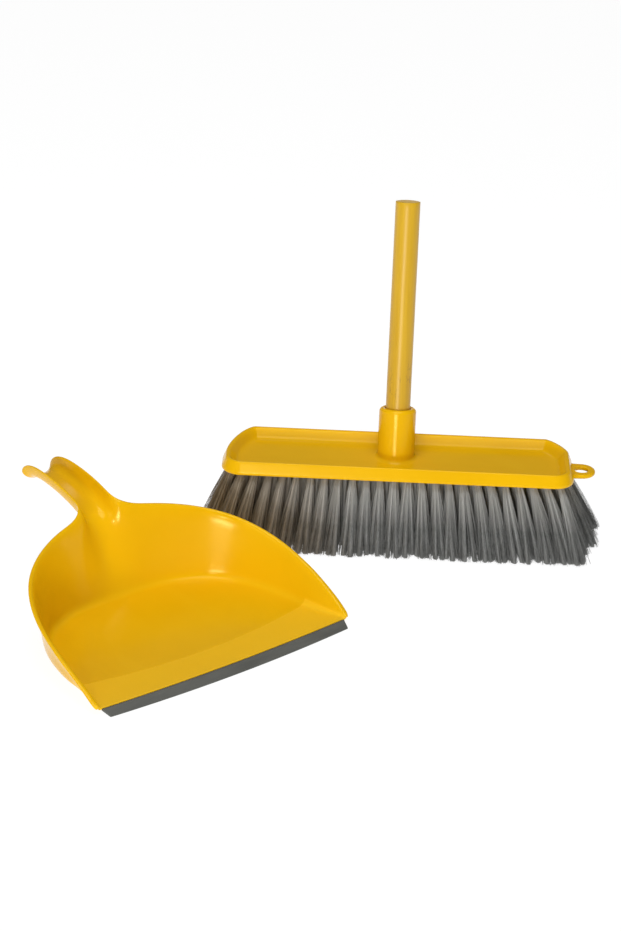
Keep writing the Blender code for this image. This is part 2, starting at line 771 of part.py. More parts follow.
def corner_loss(y, corner):
    """How far a corner of the head draws its end in, at a depth."""
    across, deep, power = corner
    past = max(0.0, y - (HEAD_HALF_DEPTH - deep)) / deep
    return across * (1.0 - (1.0 - past ** power) ** (1.0 / power))


def row_reach(y, share):
    """Half length of a row of bristles, drawn in under the head's corners."""
    back = HEAD_BACK_RIGHT if share > 0.0 else HEAD_BACK_LEFT
    return TUFT_HALF_SPAN - max(corner_loss(-y, HEAD_FRONT), corner_loss(y, back))


def tuft_splay(share):
    """How far tips lean outward, by their place from -1 to 1 along the head."""
    reach, power = TUFT_SPLAY_RIGHT if share > 0.0 else TUFT_SPLAY_LEFT
    return math.copysign(reach * abs(share) ** power, share)


def tuft_edge(share, root_y, height):
    """Place along the head of a column's edge; share runs from -1 to 1."""
    return row_reach(root_y, share) * share + tuft_splay(share) * (1.0 - height / BRISTLE_LENGTH)


def tuft_mesh(name, column, side):
    """One fan of filaments: narrow at its root, wide and outward at its tip."""
    root_z = BRISTLE_LENGTH - GAP
    left = 2.0 * column / TUFT_COLUMNS - 1.0
    right = 2.0 * (column + 1) / TUFT_COLUMNS - 1.0
    rings = []
    for level in range(TUFT_LEVELS + 1):
        height = root_z * level / TUFT_LEVELS
        back = TUFT_TIP_BACK + (TUFT_ROOT_BACK - TUFT_TIP_BACK) * level / TUFT_LEVELS
        near = 0.5 * TUFT_SIDE_GAP
        ring = []
        for x, y in arc((0.0, 0.0), (1.0, 1.0), 0.0, 2.0 * math.pi, 12)[:-1]:
            square = (abs(x) ** 4 + abs(y) ** 4) ** -0.25
            deep = side * 0.5 * (near + back) + 0.5 * (back - near) * y * square
            root_y = deep * TUFT_ROOT_BACK / back
            low = tuft_edge(left, root_y, height) + 0.5 * TUFT_SIDE_GAP
            high = tuft_edge(right, root_y, height) - 0.5 * TUFT_SIDE_GAP
            across = 0.5 * (low + high) + 0.5 * (high - low) * x * square
            ring.append(Vector((across, deep, height)))
        rings.append(ring)
    return skin_rings(name, rings, math.radians(60.0))


def build_tufts(material, place):
    """Two rows of tufts, front and back."""
    for row, side in (("front", -1.0), ("back", 1.0)):
        for column in range(TUFT_COLUMNS):
            name = f"tuft_{row}_{column + 1:02d}"
            obj = add_object(name, tuft_mesh(name, column, side), material)
            obj.matrix_world = place


def main():
    """Build the set."""
    clear_scene()
    yellow = make_material("yellow_plastic", (0.86, 0.45, 0.01), 0.28)
    rubber = make_material("grey_rubber", (0.13, 0.135, 0.125), 0.6)
    filament = make_material("grey_filament", (0.2, 0.2, 0.19), 0.5)
    lacquer = make_material("yellow_lacquer", (0.76, 0.49, 0.03), 0.35)
    thread = make_material("white_plastic", (0.75, 0.74, 0.7), 0.4)
    place = Matrix.Translation((BRUSH_X, BRUSH_Y, 0.0)) @ Matrix.Rotation(BRUSH_TURN, 4, "Z")
    build_pan(yellow)
    build_rubber_lip(rubber)
    build_head(yellow, place)
    build_tufts(filament, place)
    build_ferrule(thread, place)
    build_pole(lacquer, place)


main()
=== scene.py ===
"""Looks of the dust pan and brush set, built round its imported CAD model.

Units are metres in the CAD model's frame: the origin is the centre of the dust
pan's flat base on the floor, X runs across the pan towards the brush, +Y from
its lip to its handle, +Z up.
"""
from math import asin, atan2, copysign, cos, hypot, pi, radians, sin, sqrt, tau

import bmesh
import bpy
import numpy as np
from mathutils import Matrix, Vector


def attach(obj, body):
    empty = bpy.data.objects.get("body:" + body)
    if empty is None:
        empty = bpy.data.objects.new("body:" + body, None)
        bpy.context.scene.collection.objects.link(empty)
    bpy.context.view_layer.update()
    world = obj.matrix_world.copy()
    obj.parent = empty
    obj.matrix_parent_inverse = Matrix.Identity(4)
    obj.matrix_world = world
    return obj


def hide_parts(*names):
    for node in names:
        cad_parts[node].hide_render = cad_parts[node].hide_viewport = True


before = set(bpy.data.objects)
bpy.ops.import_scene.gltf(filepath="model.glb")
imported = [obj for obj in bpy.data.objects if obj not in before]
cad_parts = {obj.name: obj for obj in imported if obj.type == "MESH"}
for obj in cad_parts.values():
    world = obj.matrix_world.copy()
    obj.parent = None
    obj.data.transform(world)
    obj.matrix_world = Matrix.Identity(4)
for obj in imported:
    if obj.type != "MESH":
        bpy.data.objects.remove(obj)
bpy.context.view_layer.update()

MM = 0.001
GAP = 0.3 * MM

# Dust pan: overall
LIP_Y = -90.0 * MM
PAN_WALL = 2.2 * MM
RIM_HALF_WIDTH = 134.5 * MM
RIM_BULGE = 9.2 * MM
RIM_DEPTH = 179.6 * MM
RIM_FRONT_Z = 6.2 * MM
RIM_BACK_Z = 73.3 * MM
RIM_SIDE_POWER = 1.19
RIM_BACK_POWER = 0.616
RIM_RISE_POWER = 0.79
FLANGE = 4.2 * MM

# Dust pan: floor, ramp and base
BASE_HALF_WIDTH = 120.0 * MM
BASE_DEPTH = 150.0 * MM
BASE_POWER = 3.0
FLOOR_Z = 2.6 * MM
RAMP_FRONT_Z = 5.2 * MM
RAMP_UNDER = 2.0 * MM
RAMP_DEPTH = 30.0 * MM
RAMP_SIDE_DEPTH = 44.0 * MM
RAMP_FLARE = 8.0 * MM
RAMP_TOP = 7.0 * MM
LIP_BOW = 4.0 * MM
FOLD_CURVE = (RAMP_SIDE_DEPTH - RAMP_DEPTH) / BASE_HALF_WIDTH ** 2
FILLET = 10.0 * MM
FOOT_PROUD = 1.4 * MM
PATCH_WIDTH_RATIO = 0.74
PATCH_DEPTH_LOSS = 0.22
PATCH_LOSS_REACH = 131.0 * MM
FOOT_DEPTH_LOSS = 0.146
BACK_FOOT_WIDTH_RATIO = 0.965
WALL_SHARES = (0.42, 0.72)

# Dust pan: flute and channel handle
CHANNEL_HALF_WIDTH = 15.8 * MM
CHANNEL_END_HALF_WIDTH = 14.4 * MM
CHANNEL_DEPTH = 14.6 * MM
CHANNEL_END_DEPTH = 12.0 * MM
CHANNEL_START = (182.5 * MM, 80.6 * MM)
CHANNEL_RISE = radians(19.5)
CHANNEL_CURL = radians(52.0)
CHANNEL_STRAIGHT = 66.0 * MM
CHANNEL_LENGTH = 102.5 * MM
CHANNEL_FILLET_START = 30.0 * MM

# Dust pan: control mesh. Side columns stand at depths behind the lip, back
# columns at widths from the middle, and the last ones at shares of the channel.
SIDE_DEPTHS = [0.0, 14.0, 29.0, 44.0, 52.0, 72.0, 92.0, 112.0, 128.0, 141.0]
BACK_WIDTHS = [81.0, 61.0, 44.0, 29.0]
CHANNEL_SHARES = [1.0, 0.86, 0.5, 0.0]
FLUTE_SHARES = [0.0, 0.3, 0.8, 1.05]
FLUTE_DEPTHS = {3: 1.6, 4: 6.5, 5: 8.5}
FLUTE_WIDTHS = {3: (24.0, 16.0, 8.0, 0.0), 4: (24.5, 16.5, 8.2, 0.0), 5: (24.0, 16.2, 8.2, 0.0)}
FLUTE_SINK = 0.25
FLUTE_FLARE = 2.2 * MM
FLUTE_TOP = {1.0: (173.6, 76.2), 0.86: (176.8, 67.0), 0.5: (179.8, 60.6), 0.0: (180.8, 59.4)}
CHANNEL_STATIONS = [0.0, 14.0, 29.0, 44.0, 57.0, 69.0, 81.0, 91.0, 97.0]
CHANNEL_TIP_DROP = 6 * [0.0] + [0.4, 1.6, 5.2]
SECTION_DROPS = {1.0: 0.0, 0.86: 0.78, 0.5: 1.0, 0.0: 1.0}
ROW_ROLES = ["floor", "floor", "foot", "low wall"] + 4 * ["wall"]
FOLD_ROW = 3
FOLD_CREASE = 0.75
LIP_CREASE = 0.9
RIM_CREASE = 0.25

# Rubber lip
RUBBER_HALF_WIDTH = 127.4 * MM
RUBBER_FRONT_HALF_WIDTH = 124.6 * MM
RUBBER_REACH = 9.2 * MM
RUBBER_BOW = 1.6 * MM
RUBBER_TONGUE = 9.0 * MM
RUBBER_TOP = 4.6 * MM
RUBBER_STEPS = 14

# Brush: place and head. A corner is given as (across, deep, power of its curve).
BRUSH_X = 277.3 * MM
BRUSH_Y = 14.3 * MM
BRUSH_TURN = radians(-41.6)
BRISTLE_LENGTH = 71.8 * MM
HEAD_HALF_LENGTH = 157.0 * MM
HEAD_HALF_DEPTH = 43.0 * MM
HEAD_FRONT = (18.0 * MM, 18.0 * MM, 2.0)
HEAD_BACK_RIGHT = (21.5 * MM, 29.0 * MM, 1.35)
HEAD_BACK_LEFT = (25.5 * MM, 55.0 * MM, 1.5)
SKIRT_HEIGHT = 11.5 * MM
SKIRT_LEAN = 3.8 * MM
RIM_WIDTH = 2.6 * MM
RECESS_DEPTH = 8.5 * MM
RECESS_SLOPE = 8.0 * MM

# Brush: socket and hanging eye
SOCKET_X = -2.0 * MM
SOCKET_Y = 5.0 * MM
POLE_LEAN = radians(12.0)
SOCKET_LENGTH = 45.0 * MM
SOCKET_RADIUS = 16.6 * MM
SOCKET_CHAMFER = 2.0 * MM
SOCKET_SINK = 1.5 * MM
SOCKET_SEGMENTS = 64
EYE_REACH = 20.5 * MM
EYE_Y = -3.5 * MM
EYE_HALF_WIDTH = 12.5 * MM
EYE_THICKNESS = 4.0 * MM
EYE_HOLE_RADIUS = 6.0 * MM

# Pole and its screw-in ferrule
POLE_RADIUS = 11.0 * MM
POLE_ABOVE_SOCKET = 186.0 * MM
POLE_IN_SOCKET = 14.0 * MM
PIT_REACH = 53.0 * MM
FERRULE_RADIUS = 9.0 * MM
FERRULE_LENGTH = 26.0 * MM
SPIGOT_RADIUS = 5.0 * MM
SPIGOT_LENGTH = 12.0 * MM
RUNNING_GAP = 0.35 * MM
THREAD_PITCH = 5.0 * MM
THREAD_DEPTH = 1.3 * MM
THREAD_SEGMENTS = 72
THREAD_LEVELS = 130
COLLAR_HEIGHT = 3.0 * MM

# Bristle tufts
TUFT_COLUMNS = 24
TUFT_HALF_SPAN = 150.0 * MM
TUFT_SPLAY_LEFT = (28.0 * MM, 1.7)
TUFT_SPLAY_RIGHT = (38.0 * MM, 1.0)
TUFT_TIP_BACK = 55.0 * MM

# Bristles: rows of holes as (distance of the hole, distance of the tips) from the
# head's middle plane, shares of the splay by half of the head (front -1, back 1)
# and row, and how each stapled tuft, lock and filament spreads.
HOLE_ROWS = [(7.0 * MM, 9.0 * MM), (20.5 * MM, 28.5 * MM), (34.0 * MM, 47.0 * MM)]
ROW_SPLAYS = {-1.0: (0.85, 0.76, 0.58), 1.0: (0.97, 0.92, 0.74)}
LEFT_ROW_SPLAYS = {-1.0: 0.78, 1.0: 1.0}
HOLE_RADIUS = 2.9 * MM
TIP_SPREAD_X = 8.6 * MM
TIP_SPREAD_Y = 9.0 * MM
LOCKS = 5
LOCK_STRANDS = 24
LOCK_ROOT = 1.5 * MM
LOCK_TIP = 4.7 * MM
SPLIT_ENDS = 2
BOW_SHARES = np.array([0.03, 0.1, 0.0])
CORE_SIDES = 8
CORE_SHARE = 0.62
CORE_SHORT = 1.5 * MM
CORE_LEVELS = 6
TIP_JITTER = 1.0 * MM
TIP_SHORT = (1.4, 0.4 * MM)
TIP_DOME = 1.3 * MM
LOCK_JITTER = 0.8 * MM
LOCK_BOW = 0.6 * MM
STRAND_RADII = (0.15 * MM, 0.21 * MM)
SPLIT_RADIUS = 0.09 * MM
LEVEL = np.array([1.0, 1.0, 0.0])

# Stage: a white floor that glows, a faint world, and soft boxes given as name,
# azimuth, elevation, distance, target, size and power.
FLOOR_HALF_SIZE = 12.0
FLOOR_DROP = 0.2 * MM
FLOOR_GREY = (0.14, 0.14, 0.14)
FLOOR_GLOW = 0.94
WORLD_STRENGTH = 0.14
MIDDLE = (0.16, 0.02, 0.05)
HEAD_MIDDLE = (BRUSH_X, BRUSH_Y, BRISTLE_LENGTH)
SOFTBOXES = [
    ("top_light", -52.0, 75.0, 1.6, HEAD_MIDDLE, (1.0, 1.0), 16.0),
    ("front_fill", -74.0, 30.0, 2.0, MIDDLE, (0.8, 0.7), 2.0),
    ("low_strip", -50.0, 3.2, 2.3, MIDDLE, (0.66, 0.13), 14.5),
    ("skirt_light", -46.5, 16.0, 2.3, MIDDLE, (0.2, 0.12), 5.0),
    ("back_light", 143.0, 42.0, 1.9, MIDDLE, (0.3, 0.25), 0.5),
]

# Camera: azimuth, elevation and distance from its target, fitted to the photo
CAMERA_AROUND = (-40.97, 25.2, 2.7)
CAMERA_TARGET = (0.3085, 0.1694, 0.0)
CAMERA_ROLL = radians(2.3)
CAMERA_LENS = 109.4


# --- meshes

def link_object(name, data):
    """Put a mesh, light or camera in the scene."""
    obj = bpy.data.objects.new(name, data)
    bpy.context.scene.collection.objects.link(obj)
    return obj


def add_object(name, mesh, material):
    """Put a mesh in the scene with its material."""
    mesh.materials.append(material)
    return link_object(name, mesh)


def mesh_from_bmesh(name, bm, smooth_angle=None):
    """Turn a bmesh into a mesh with outward faces."""
    bmesh.ops.recalc_face_normals(bm, faces=bm.faces)
    mesh = bpy.data.meshes.new(name)
    bm.to_mesh(mesh)
    bm.free()
    if smooth_angle is not None:
        mesh.shade_smooth()
        mesh.set_sharp_from_angle(angle=smooth_angle)
    return mesh


def skin_rings(name, rings, smooth_angle=radians(40.0)):
    """Close a stack of equal rings into one body, with flat ends."""
    bm = bmesh.new()
    rows = [[bm.verts.new(point) for point in ring] for ring in rings]
    count = len(rows[0])
    for lower, upper in zip(rows, rows[1:]):
        for i in range(count):
            j = (i + 1) % count
            bm.faces.new((lower[i], lower[j], upper[j], upper[i]))
    bm.faces.new(rows[0])
    bm.faces.new(list(reversed(rows[-1])))
    return mesh_from_bmesh(name, bm, smooth_angle)


def circle(radius, height, segments):
    """A ring about Z."""
    turns = (tau * i / segments for i in range(segments))
    return [(radius * cos(turn), radius * sin(turn), height) for turn in turns]


def turned(name, profile, segments, smooth_angle=radians(35.0)):
    """Turn (radius, height) points about Z, with flat ends."""
    rings = [circle(radius, height, segments) for radius, height in profile]
    return skin_rings(name, rings, smooth_angle)


# --- dust pan's control mesh, as in the CAD

def rim_at(angle):
    """Outer edge of the rim, right half; angle 0 is the lip corner."""
    y = RIM_DEPTH * sin(angle) ** RIM_BACK_POWER
    x = (RIM_HALF_WIDTH + RIM_BULGE * sin(angle)) * cos(angle) ** RIM_SIDE_POWER
    z = RIM_FRONT_Z + (RIM_BACK_Z - RIM_FRONT_Z) * (y / RIM_DEPTH) ** RIM_RISE_POWER
    return Vector((x, y, z))


def rim_at_depth(y):
    """The rim's point at a distance behind the lip."""
    return rim_at(asin((y / RIM_DEPTH) ** (1.0 / RIM_BACK_POWER)))


def rim_at_width(x):
    """The rim's point at a distance from the middle plane, on its back part."""
    low, high = radians(25.0), radians(90.0)
    for _ in range(40):
        middle = 0.5 * (low + high)
        low, high = (middle, high) if rim_at(middle).x > x else (low, middle)
    return rim_at(high)


def floor_height(x, y):
    """Height of the pan's inside floor, with the ramp that rises to the lip."""
    climb = 1.0 - max(0.0, y) / ramp_fold(x)
    return FLOOR_Z + (RAMP_FRONT_Z - FLOOR_Z) * max(0.0, climb)


def ramp_fold(x):
    """Distance behind the lip of the curved fold where the ramp starts."""
    return RAMP_DEPTH + (RAMP_SIDE_DEPTH - RAMP_DEPTH) * min(1.0, abs(x) / BASE_HALF_WIDTH) ** 2


def lip_bow(x):
    """How far the lip's edge bows forward at a distance from the middle."""
    return LIP_BOW * max(0.0, 1.0 - (x / RUBBER_HALF_WIDTH) ** 2)


def bowed(x, y):
    """A point of the floor, with the ramp pulled forward to the bowed lip."""
    climb = max(0.0, 1.0 - y / ramp_fold(x))
    return Vector((x, y - lip_bow(x) * climb, floor_height(x, y)))


def base_width(y):
    """Half width of the wall's foot at a distance behind the lip."""
    width = BASE_HALF_WIDTH * max(0.0, 1.0 - (y / BASE_DEPTH) ** BASE_POWER) ** (1.0 / BASE_POWER)
    if y < RAMP_SIDE_DEPTH:
        width += RAMP_FLARE * (1.0 - y / RAMP_SIDE_DEPTH) ** 1.5
    return width


def base_depth(x):
    """Depth of the wall's foot at a distance from the middle plane."""
    return BASE_DEPTH * (1.0 - (x / BASE_HALF_WIDTH) ** BASE_POWER) ** (1.0 / BASE_POWER)


def side_columns():
    """The right wall's columns of points, from the lip corner to the back corner."""
    columns = []
    for depth in SIDE_DEPTHS:
        y = depth * MM
        outer = rim_at_depth(y)
        foot_y = y * (1.0 - FOOT_DEPTH_LOSS * (y / RIM_DEPTH) ** 2)
        foot_x = base_width(foot_y)
        columns.append(wall_rows(outer, Vector((foot_x, foot_y, floor_height(foot_x, foot_y)))))
    return columns


def back_columns():
    """The back wall's columns, from the back corner to the middle plane."""
    columns = []
    for width in BACK_WIDTHS:
        outer = rim_at_width(width * MM)
        foot_x = outer.x * BACK_FOOT_WIDTH_RATIO
        columns.append(wall_rows(outer, Vector((foot_x, base_depth(foot_x), FLOOR_Z))))
    for lane, share in enumerate(CHANNEL_SHARES):
        x = CHANNEL_HALF_WIDTH * share
        outer = rim_at_width(x)
        outer.x = x
        columns.append(wall_rows(outer, Vector((x, base_depth(x), FLOOR_Z)), lane))
    return columns


def channel_path(distance):
    """Top edge of the channel's walls: place (y, z) and heading at a distance."""
    steps = 40
    y, z = CHANNEL_START
    heading = CHANNEL_RISE
    for i in range(steps):
        at = distance * (i + 0.5) / steps
        if at < CHANNEL_STRAIGHT:
            heading = CHANNEL_RISE * (1.0 - at / CHANNEL_STRAIGHT)
        else:
            curl = (at - CHANNEL_STRAIGHT) / (CHANNEL_LENGTH - CHANNEL_STRAIGHT)
            heading = -CHANNEL_CURL * curl ** 1.3
        y += cos(heading) * distance / steps
        z += sin(heading) * distance / steps
    return y, z, heading


def channel_point(station, share):
    """A point of the channel's inside, by station along it and share across."""
    distance = CHANNEL_STATIONS[station] * MM
    y, z, heading = channel_path(distance)
    along = distance / CHANNEL_LENGTH
    half = CHANNEL_HALF_WIDTH + (CHANNEL_END_HALF_WIDTH - CHANNEL_HALF_WIDTH) * along ** 2
    depth = CHANNEL_DEPTH + (CHANNEL_END_DEPTH - CHANNEL_DEPTH) * along
    drop = max(depth * SECTION_DROPS[share], CHANNEL_TIP_DROP[station] * MM)
    return Vector((half * share, y + drop * sin(heading), z - drop * cos(heading)))


def wall_rows(outer, foot, lane=None):
    """Inside points of one column: floor edge, corner, wall, rim and flange."""
    inward = Vector((foot.x - outer.x, foot.y - outer.y, 0.0)).normalized()
    top = outer + inward * FLANGE + Vector((0.0, 0.0, 0.6 * MM))
    height = max(top.z - foot.z, 1.0 * MM)
    corner = min(0.26, 9.0 * MM / height)
    patch_y = foot.y * (1.0 - PATCH_DEPTH_LOSS * min(1.0, foot.y / PATCH_LOSS_REACH))
    if foot.y <= RAMP_SIDE_DEPTH * 1.01:
        patch_y = foot.y * ramp_fold(foot.x * PATCH_WIDTH_RATIO) / RAMP_SIDE_DEPTH
    patch_x = foot.x * PATCH_WIDTH_RATIO
    inward = Vector((patch_x - foot.x, patch_y - foot.y, 0.0)).normalized()
    edge = foot + inward * FILLET
    rows = [bowed(patch_x, patch_y), bowed(edge.x, edge.y), foot.copy()]
    for share in (corner, *WALL_SHARES, 1.0):
        rows.append(foot.lerp(top, share))
    rows.append(outer.copy())
    if lane is not None:
        share = CHANNEL_SHARES[lane]
        for row, depth in FLUTE_DEPTHS.items():
            depth *= FLUTE_SHARES[lane]
            rows[row] += Vector((0.0, depth, -FLUTE_SINK * depth)) * MM
            rows[row].x = FLUTE_WIDTHS[row][lane] * MM
        y, z = FLUTE_TOP[share]
        rows[6] = Vector((CHANNEL_HALF_WIDTH * share + FLUTE_FLARE * share ** 4, y * MM, z * MM))
        rows[7] = channel_point(0, share)
    elif outer.x < CHANNEL_FILLET_START:
        rows[6] += Vector((0.0, 0.6 * MM, 1.2 * MM))
        rows[7] = rows[6].lerp(rows[7], 0.45)
        rows[7].z += 0.8 * MM
    return rows


def table_faces(table, rows, columns):
    """The faces between neighbours in a table of vertex numbers."""
    return [
        (table[r, c], table[r + 1, c], table[r + 1, c + 1], table[r, c + 1])
        for r in rows for c in columns
    ]


def pan_cage():
    """Control mesh of the pan's inside: points, their roles, faces and folded edges."""
    points = []
    roles = []

    def vertex(point, role):
        points.append(point)
        roles.append(role)
        return len(points) - 1

    sides = side_columns()
    half = sides + back_columns()
    ring = half + [[mirror(point) for point in rows] for rows in reversed(half[:-1])]
    count = len(ring)
    wall = {}
    for c, rows in enumerate(ring):
        for r, point in enumerate(rows):
            wall[r, c] = vertex(point, ROW_ROLES[r])
    faces = table_faces(wall, range(7), range(count - 1))
    folds = []
    for c in (FOLD_ROW, count - 1 - FOLD_ROW):
        folds += [(wall[0, c], wall[1, c]), (wall[1, c], wall[2, c])]

    # The floor inside the ring, a grid whose edges are the ring's first row.
    side_count = len(sides)
    first_back = side_count - 1
    across = range(first_back, count - first_back)
    last = len(across) - 1
    grid = {}
    for k in range(side_count):
        for i, c in enumerate(across):
            if k == side_count - 1:
                grid[k, i] = wall[0, c]
            elif i == 0:
                grid[k, i] = wall[0, k]
            elif i == last:
                grid[k, i] = wall[0, count - 1 - k]
            else:
                marks = [ring[at][0] for at in (k, first_back, c, FOLD_ROW)]
                grid[k, i] = vertex(floor_point(k, *marks), "floor")
    faces += table_faces(grid, range(first_back), range(last))
    folds += [(grid[FOLD_ROW, i], grid[FOLD_ROW, i + 1]) for i in range(last)]

    # The channel handle goes on from the middle columns of the back.
    reach = len(CHANNEL_SHARES) - 1
    lane = {}
    for offset in range(-reach, reach + 1):
        lane[0, offset] = wall[7, count // 2 + offset]
        for station in range(1, len(CHANNEL_STATIONS)):
            point = channel_point(station, CHANNEL_SHARES[reach - abs(offset)])
            lane[station, offset] = vertex(mirror(point) if offset > 0 else point, "wall")
    faces += table_faces(lane, range(len(CHANNEL_STATIONS) - 1), range(-reach, reach))
    return points, roles, faces, folds


def mirror(point):
    """The point on the pan's other half."""
    return Vector((-point.x, point.y, point.z))


def floor_point(row, side, corner, back, fold_side):
    """A point of the floor's grid, between the side, the back and the lip."""
    x = back.x * side.x / corner.x
    fold = ramp_fold(x)
    if row <= FOLD_ROW:
        return bowed(x, fold * row / FOLD_ROW)
    share = (side.y - fold_side.y) / (corner.y - fold_side.y)
    y = fold + (back.y - fold) * share
    return Vector((x, y, floor_height(x, y)))


def outside_of(vertex, role):
    """The outside point that backs a point of the pan's inside."""
    inner = vertex.co
    outward = Vector((-vertex.normal.x, -vertex.normal.y, 0.0))
    if role in ("floor", "foot"):
        on_ramp = inner.y < ramp_fold(inner.x) - 1.0 * MM
        point = Vector((inner.x, inner.y, inner.z - RAMP_UNDER if on_ramp else 0.0))
        if role == "foot":
            point += outward.normalized() * PAN_WALL
    else:
        point = inner - vertex.normal * PAN_WALL
    if role in ("foot", "low wall") and inner.y > RAMP_SIDE_DEPTH + 2.0 * MM:
        point += outward.normalized() * FOOT_PROUD
    if inner.y < 0.1 * MM:
        point.y = inner.y
    return point


def thicken_pan(points, roles, faces, folds):
    """Close the pan's inside with an outside and an edge all round it."""
    bm = bmesh.new()
    inside = [bm.verts.new(point) for point in points]
    for face in faces:
        bm.faces.new([inside[i] for i in face])
    bm.normal_update()
    if sum(face.normal.z for face in bm.faces) < 0.0:
        bmesh.ops.reverse_faces(bm, faces=bm.faces)
        bm.normal_update()
    border = [tuple(edge.verts) for edge in bm.edges if len(edge.link_faces) == 1]
    inner_faces = list(bm.faces)
    backing = [outside_of(vertex, role) for vertex, role in zip(inside, roles)]
    outside = {vertex: bm.verts.new(point) for vertex, point in zip(inside, backing)}
    for face in inner_faces:
        bm.faces.new([outside[vertex] for vertex in reversed(face.verts)])
    for first, second in border:
        bm.faces.new((first, second, outside[second], outside[first]))
    crease = bm.edges.layers.float.new("crease_edge")
    for first, second in folds:
        edge_ends = (inside[first], inside[second])
        bm.edges.get(edge_ends)[crease] = FOLD_CREASE
        bm.edges.get([outside[end] for end in edge_ends])[crease] = FOLD_CREASE
    for first, second in border:
        at_lip = max(first.co.y, second.co.y) < 0.1 * MM
        weight = LIP_CREASE if at_lip else RIM_CREASE
        bm.edges.get((first, second))[crease] = weight
        bm.edges.get((outside[first], outside[second]))[crease] = weight
    bmesh.ops.translate(bm, verts=bm.verts, vec=(0.0, LIP_Y, 0.0))
    return mesh_from_bmesh("pan_shell", bm, radians(60.0))


def pole_frame():
    """Matrix whose Z runs up the pole, from the socket's foot on the recess floor."""
    foot = Vector((SOCKET_X, SOCKET_Y, recess_floor()))
    return Matrix.Translation(foot) @ Matrix.Rotation(-POLE_LEAN, 4, "X")


def recess_floor():
    """Height of the floor of the recess in the head's top."""
    return BRISTLE_LENGTH + SKIRT_HEIGHT - RECESS_DEPTH


# --- shared steps

def add_boolean(obj, operation, mesh, matrix):
    """Union or cut with another body, which is removed once that is done."""
    tool = link_object(mesh.name, mesh)
    tool.matrix_world = matrix
    modifier = obj.modifiers.new(mesh.name, "BOOLEAN")
    modifier.operation = operation
    modifier.object = tool
    return tool


def evaluated_copy(obj):
    """Replace an object's mesh by what its modifiers make of it, in the row frame."""
    bpy.context.view_layer.update()
    graph = bpy.context.evaluated_depsgraph_get()
    mesh = bpy.data.meshes.new_from_object(obj.evaluated_get(graph))
    mesh.transform(obj.matrix_world)
    obj.modifiers.clear()
    obj.data = mesh
    obj.matrix_world = Matrix.Identity(4)


def rounded(corners, steps=5):
    """A polyline with its corners rounded; corners are (a, b, radius)."""
    points = []
    for i, (a, b, radius) in enumerate(corners):
        here = Vector((a, b))
        if i in (0, len(corners) - 1) or radius <= 0.0:
            points.append(here)
            continue
        before = Vector(corners[i - 1][:2]) - here
        after = Vector(corners[i + 1][:2]) - here
        reach = min(radius, 0.48 * before.length, 0.48 * after.length)
        start = here + before.normalized() * reach
        end = here + after.normalized() * reach
        for k in range(steps + 1):
            t = k / steps
            points.append(start * (1 - t) ** 2 + here * 2 * t * (1 - t) + end * t ** 2)
    return [(p.x, p.y) for p in points]


def flat_weighted(obj, angle):
    """Smooth shading that keeps flat faces flat next to small roundings."""
    obj.data.shade_smooth()
    obj.data.set_sharp_from_angle(angle=angle)
    weighted = obj.modifiers.new("Weighted", "WEIGHTED_NORMAL")
    weighted.keep_sharp = True
    weighted.weight = 80


def register(obj, body, slot, *nodes):
    """Attach the piece to the body it rides on and hide the CAD nodes it stands for; the finish it
    is given is not used.
    """
    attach(obj, body)
    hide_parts(*nodes)


# --- pieces

def build_pan(material):
    """The dust pan's moulding, finely subdivided from its control mesh."""
    obj = add_object("pan_moulding", thicken_pan(*pan_cage()), material)
    smooth = obj.modifiers.new("Smooth", "SUBSURF")
    smooth.levels = 3
    evaluated_copy(obj)
    flat_weighted(obj, radians(50.0))
    register(obj, "dust_pan", "yellow_plastic", "pan_shell")


def build_rubber_lip(material):
    """The soft strip: rounded nose, a shallow step along its top, a hidden tongue."""
    under = RAMP_FRONT_Z - RAMP_UNDER - GAP
    slope = (RAMP_FRONT_Z - FLOOR_Z) / RAMP_SIDE_DEPTH
    tongue_z = under - slope * RUBBER_TONGUE * RAMP_SIDE_DEPTH / RAMP_DEPTH
    profile = rounded([
        (RUBBER_TONGUE, 0.0, 0.0),
        (RUBBER_TONGUE, tongue_z, 0.0),
        (0.0, under, 0.0),
        (-GAP, under, 0.0),
        (-GAP, RUBBER_TOP, 0.5 * MM),
        (-1.9 * MM, RUBBER_TOP, 0.8 * MM),
        (-2.3 * MM, RUBBER_TOP - 0.55 * MM, 0.3 * MM),
        (-RUBBER_REACH + 1.4 * MM, 1.75 * MM, 1.0 * MM),
        (-RUBBER_REACH, 1.2 * MM, 0.7 * MM),
        (-RUBBER_REACH, 0.1 * MM, 0.5 * MM),
        (-RUBBER_REACH + 1.2 * MM, 0.0, 0.0),
    ], 3)
    rings = []
    steps = RUBBER_STEPS * 5
    for i in range(steps + 1):
        side = 2.0 * i / steps - 1.0
        ring = []
        for y, z in profile:
            forward = min(1.0, max(0.0, -y / RUBBER_REACH))
            half = RUBBER_HALF_WIDTH + (RUBBER_FRONT_HALF_WIDTH - RUBBER_HALF_WIDTH) * forward
            if y > 0.0:
                half = RUBBER_HALF_WIDTH - 6.0 * MM
            bow = lip_bow(side * half) + RUBBER_BOW * forward * (1.0 - side * side)
            ring.append(Vector((side * half, LIP_Y + y - bow, z)))
        rings.append(ring)
    obj = add_object("rubber_strip", skin_rings("rubber_strip", rings), material)
    flat_weighted(obj, radians(35.0))
    register(obj, "dust_pan", "grey_rubber", "rubber_lip")


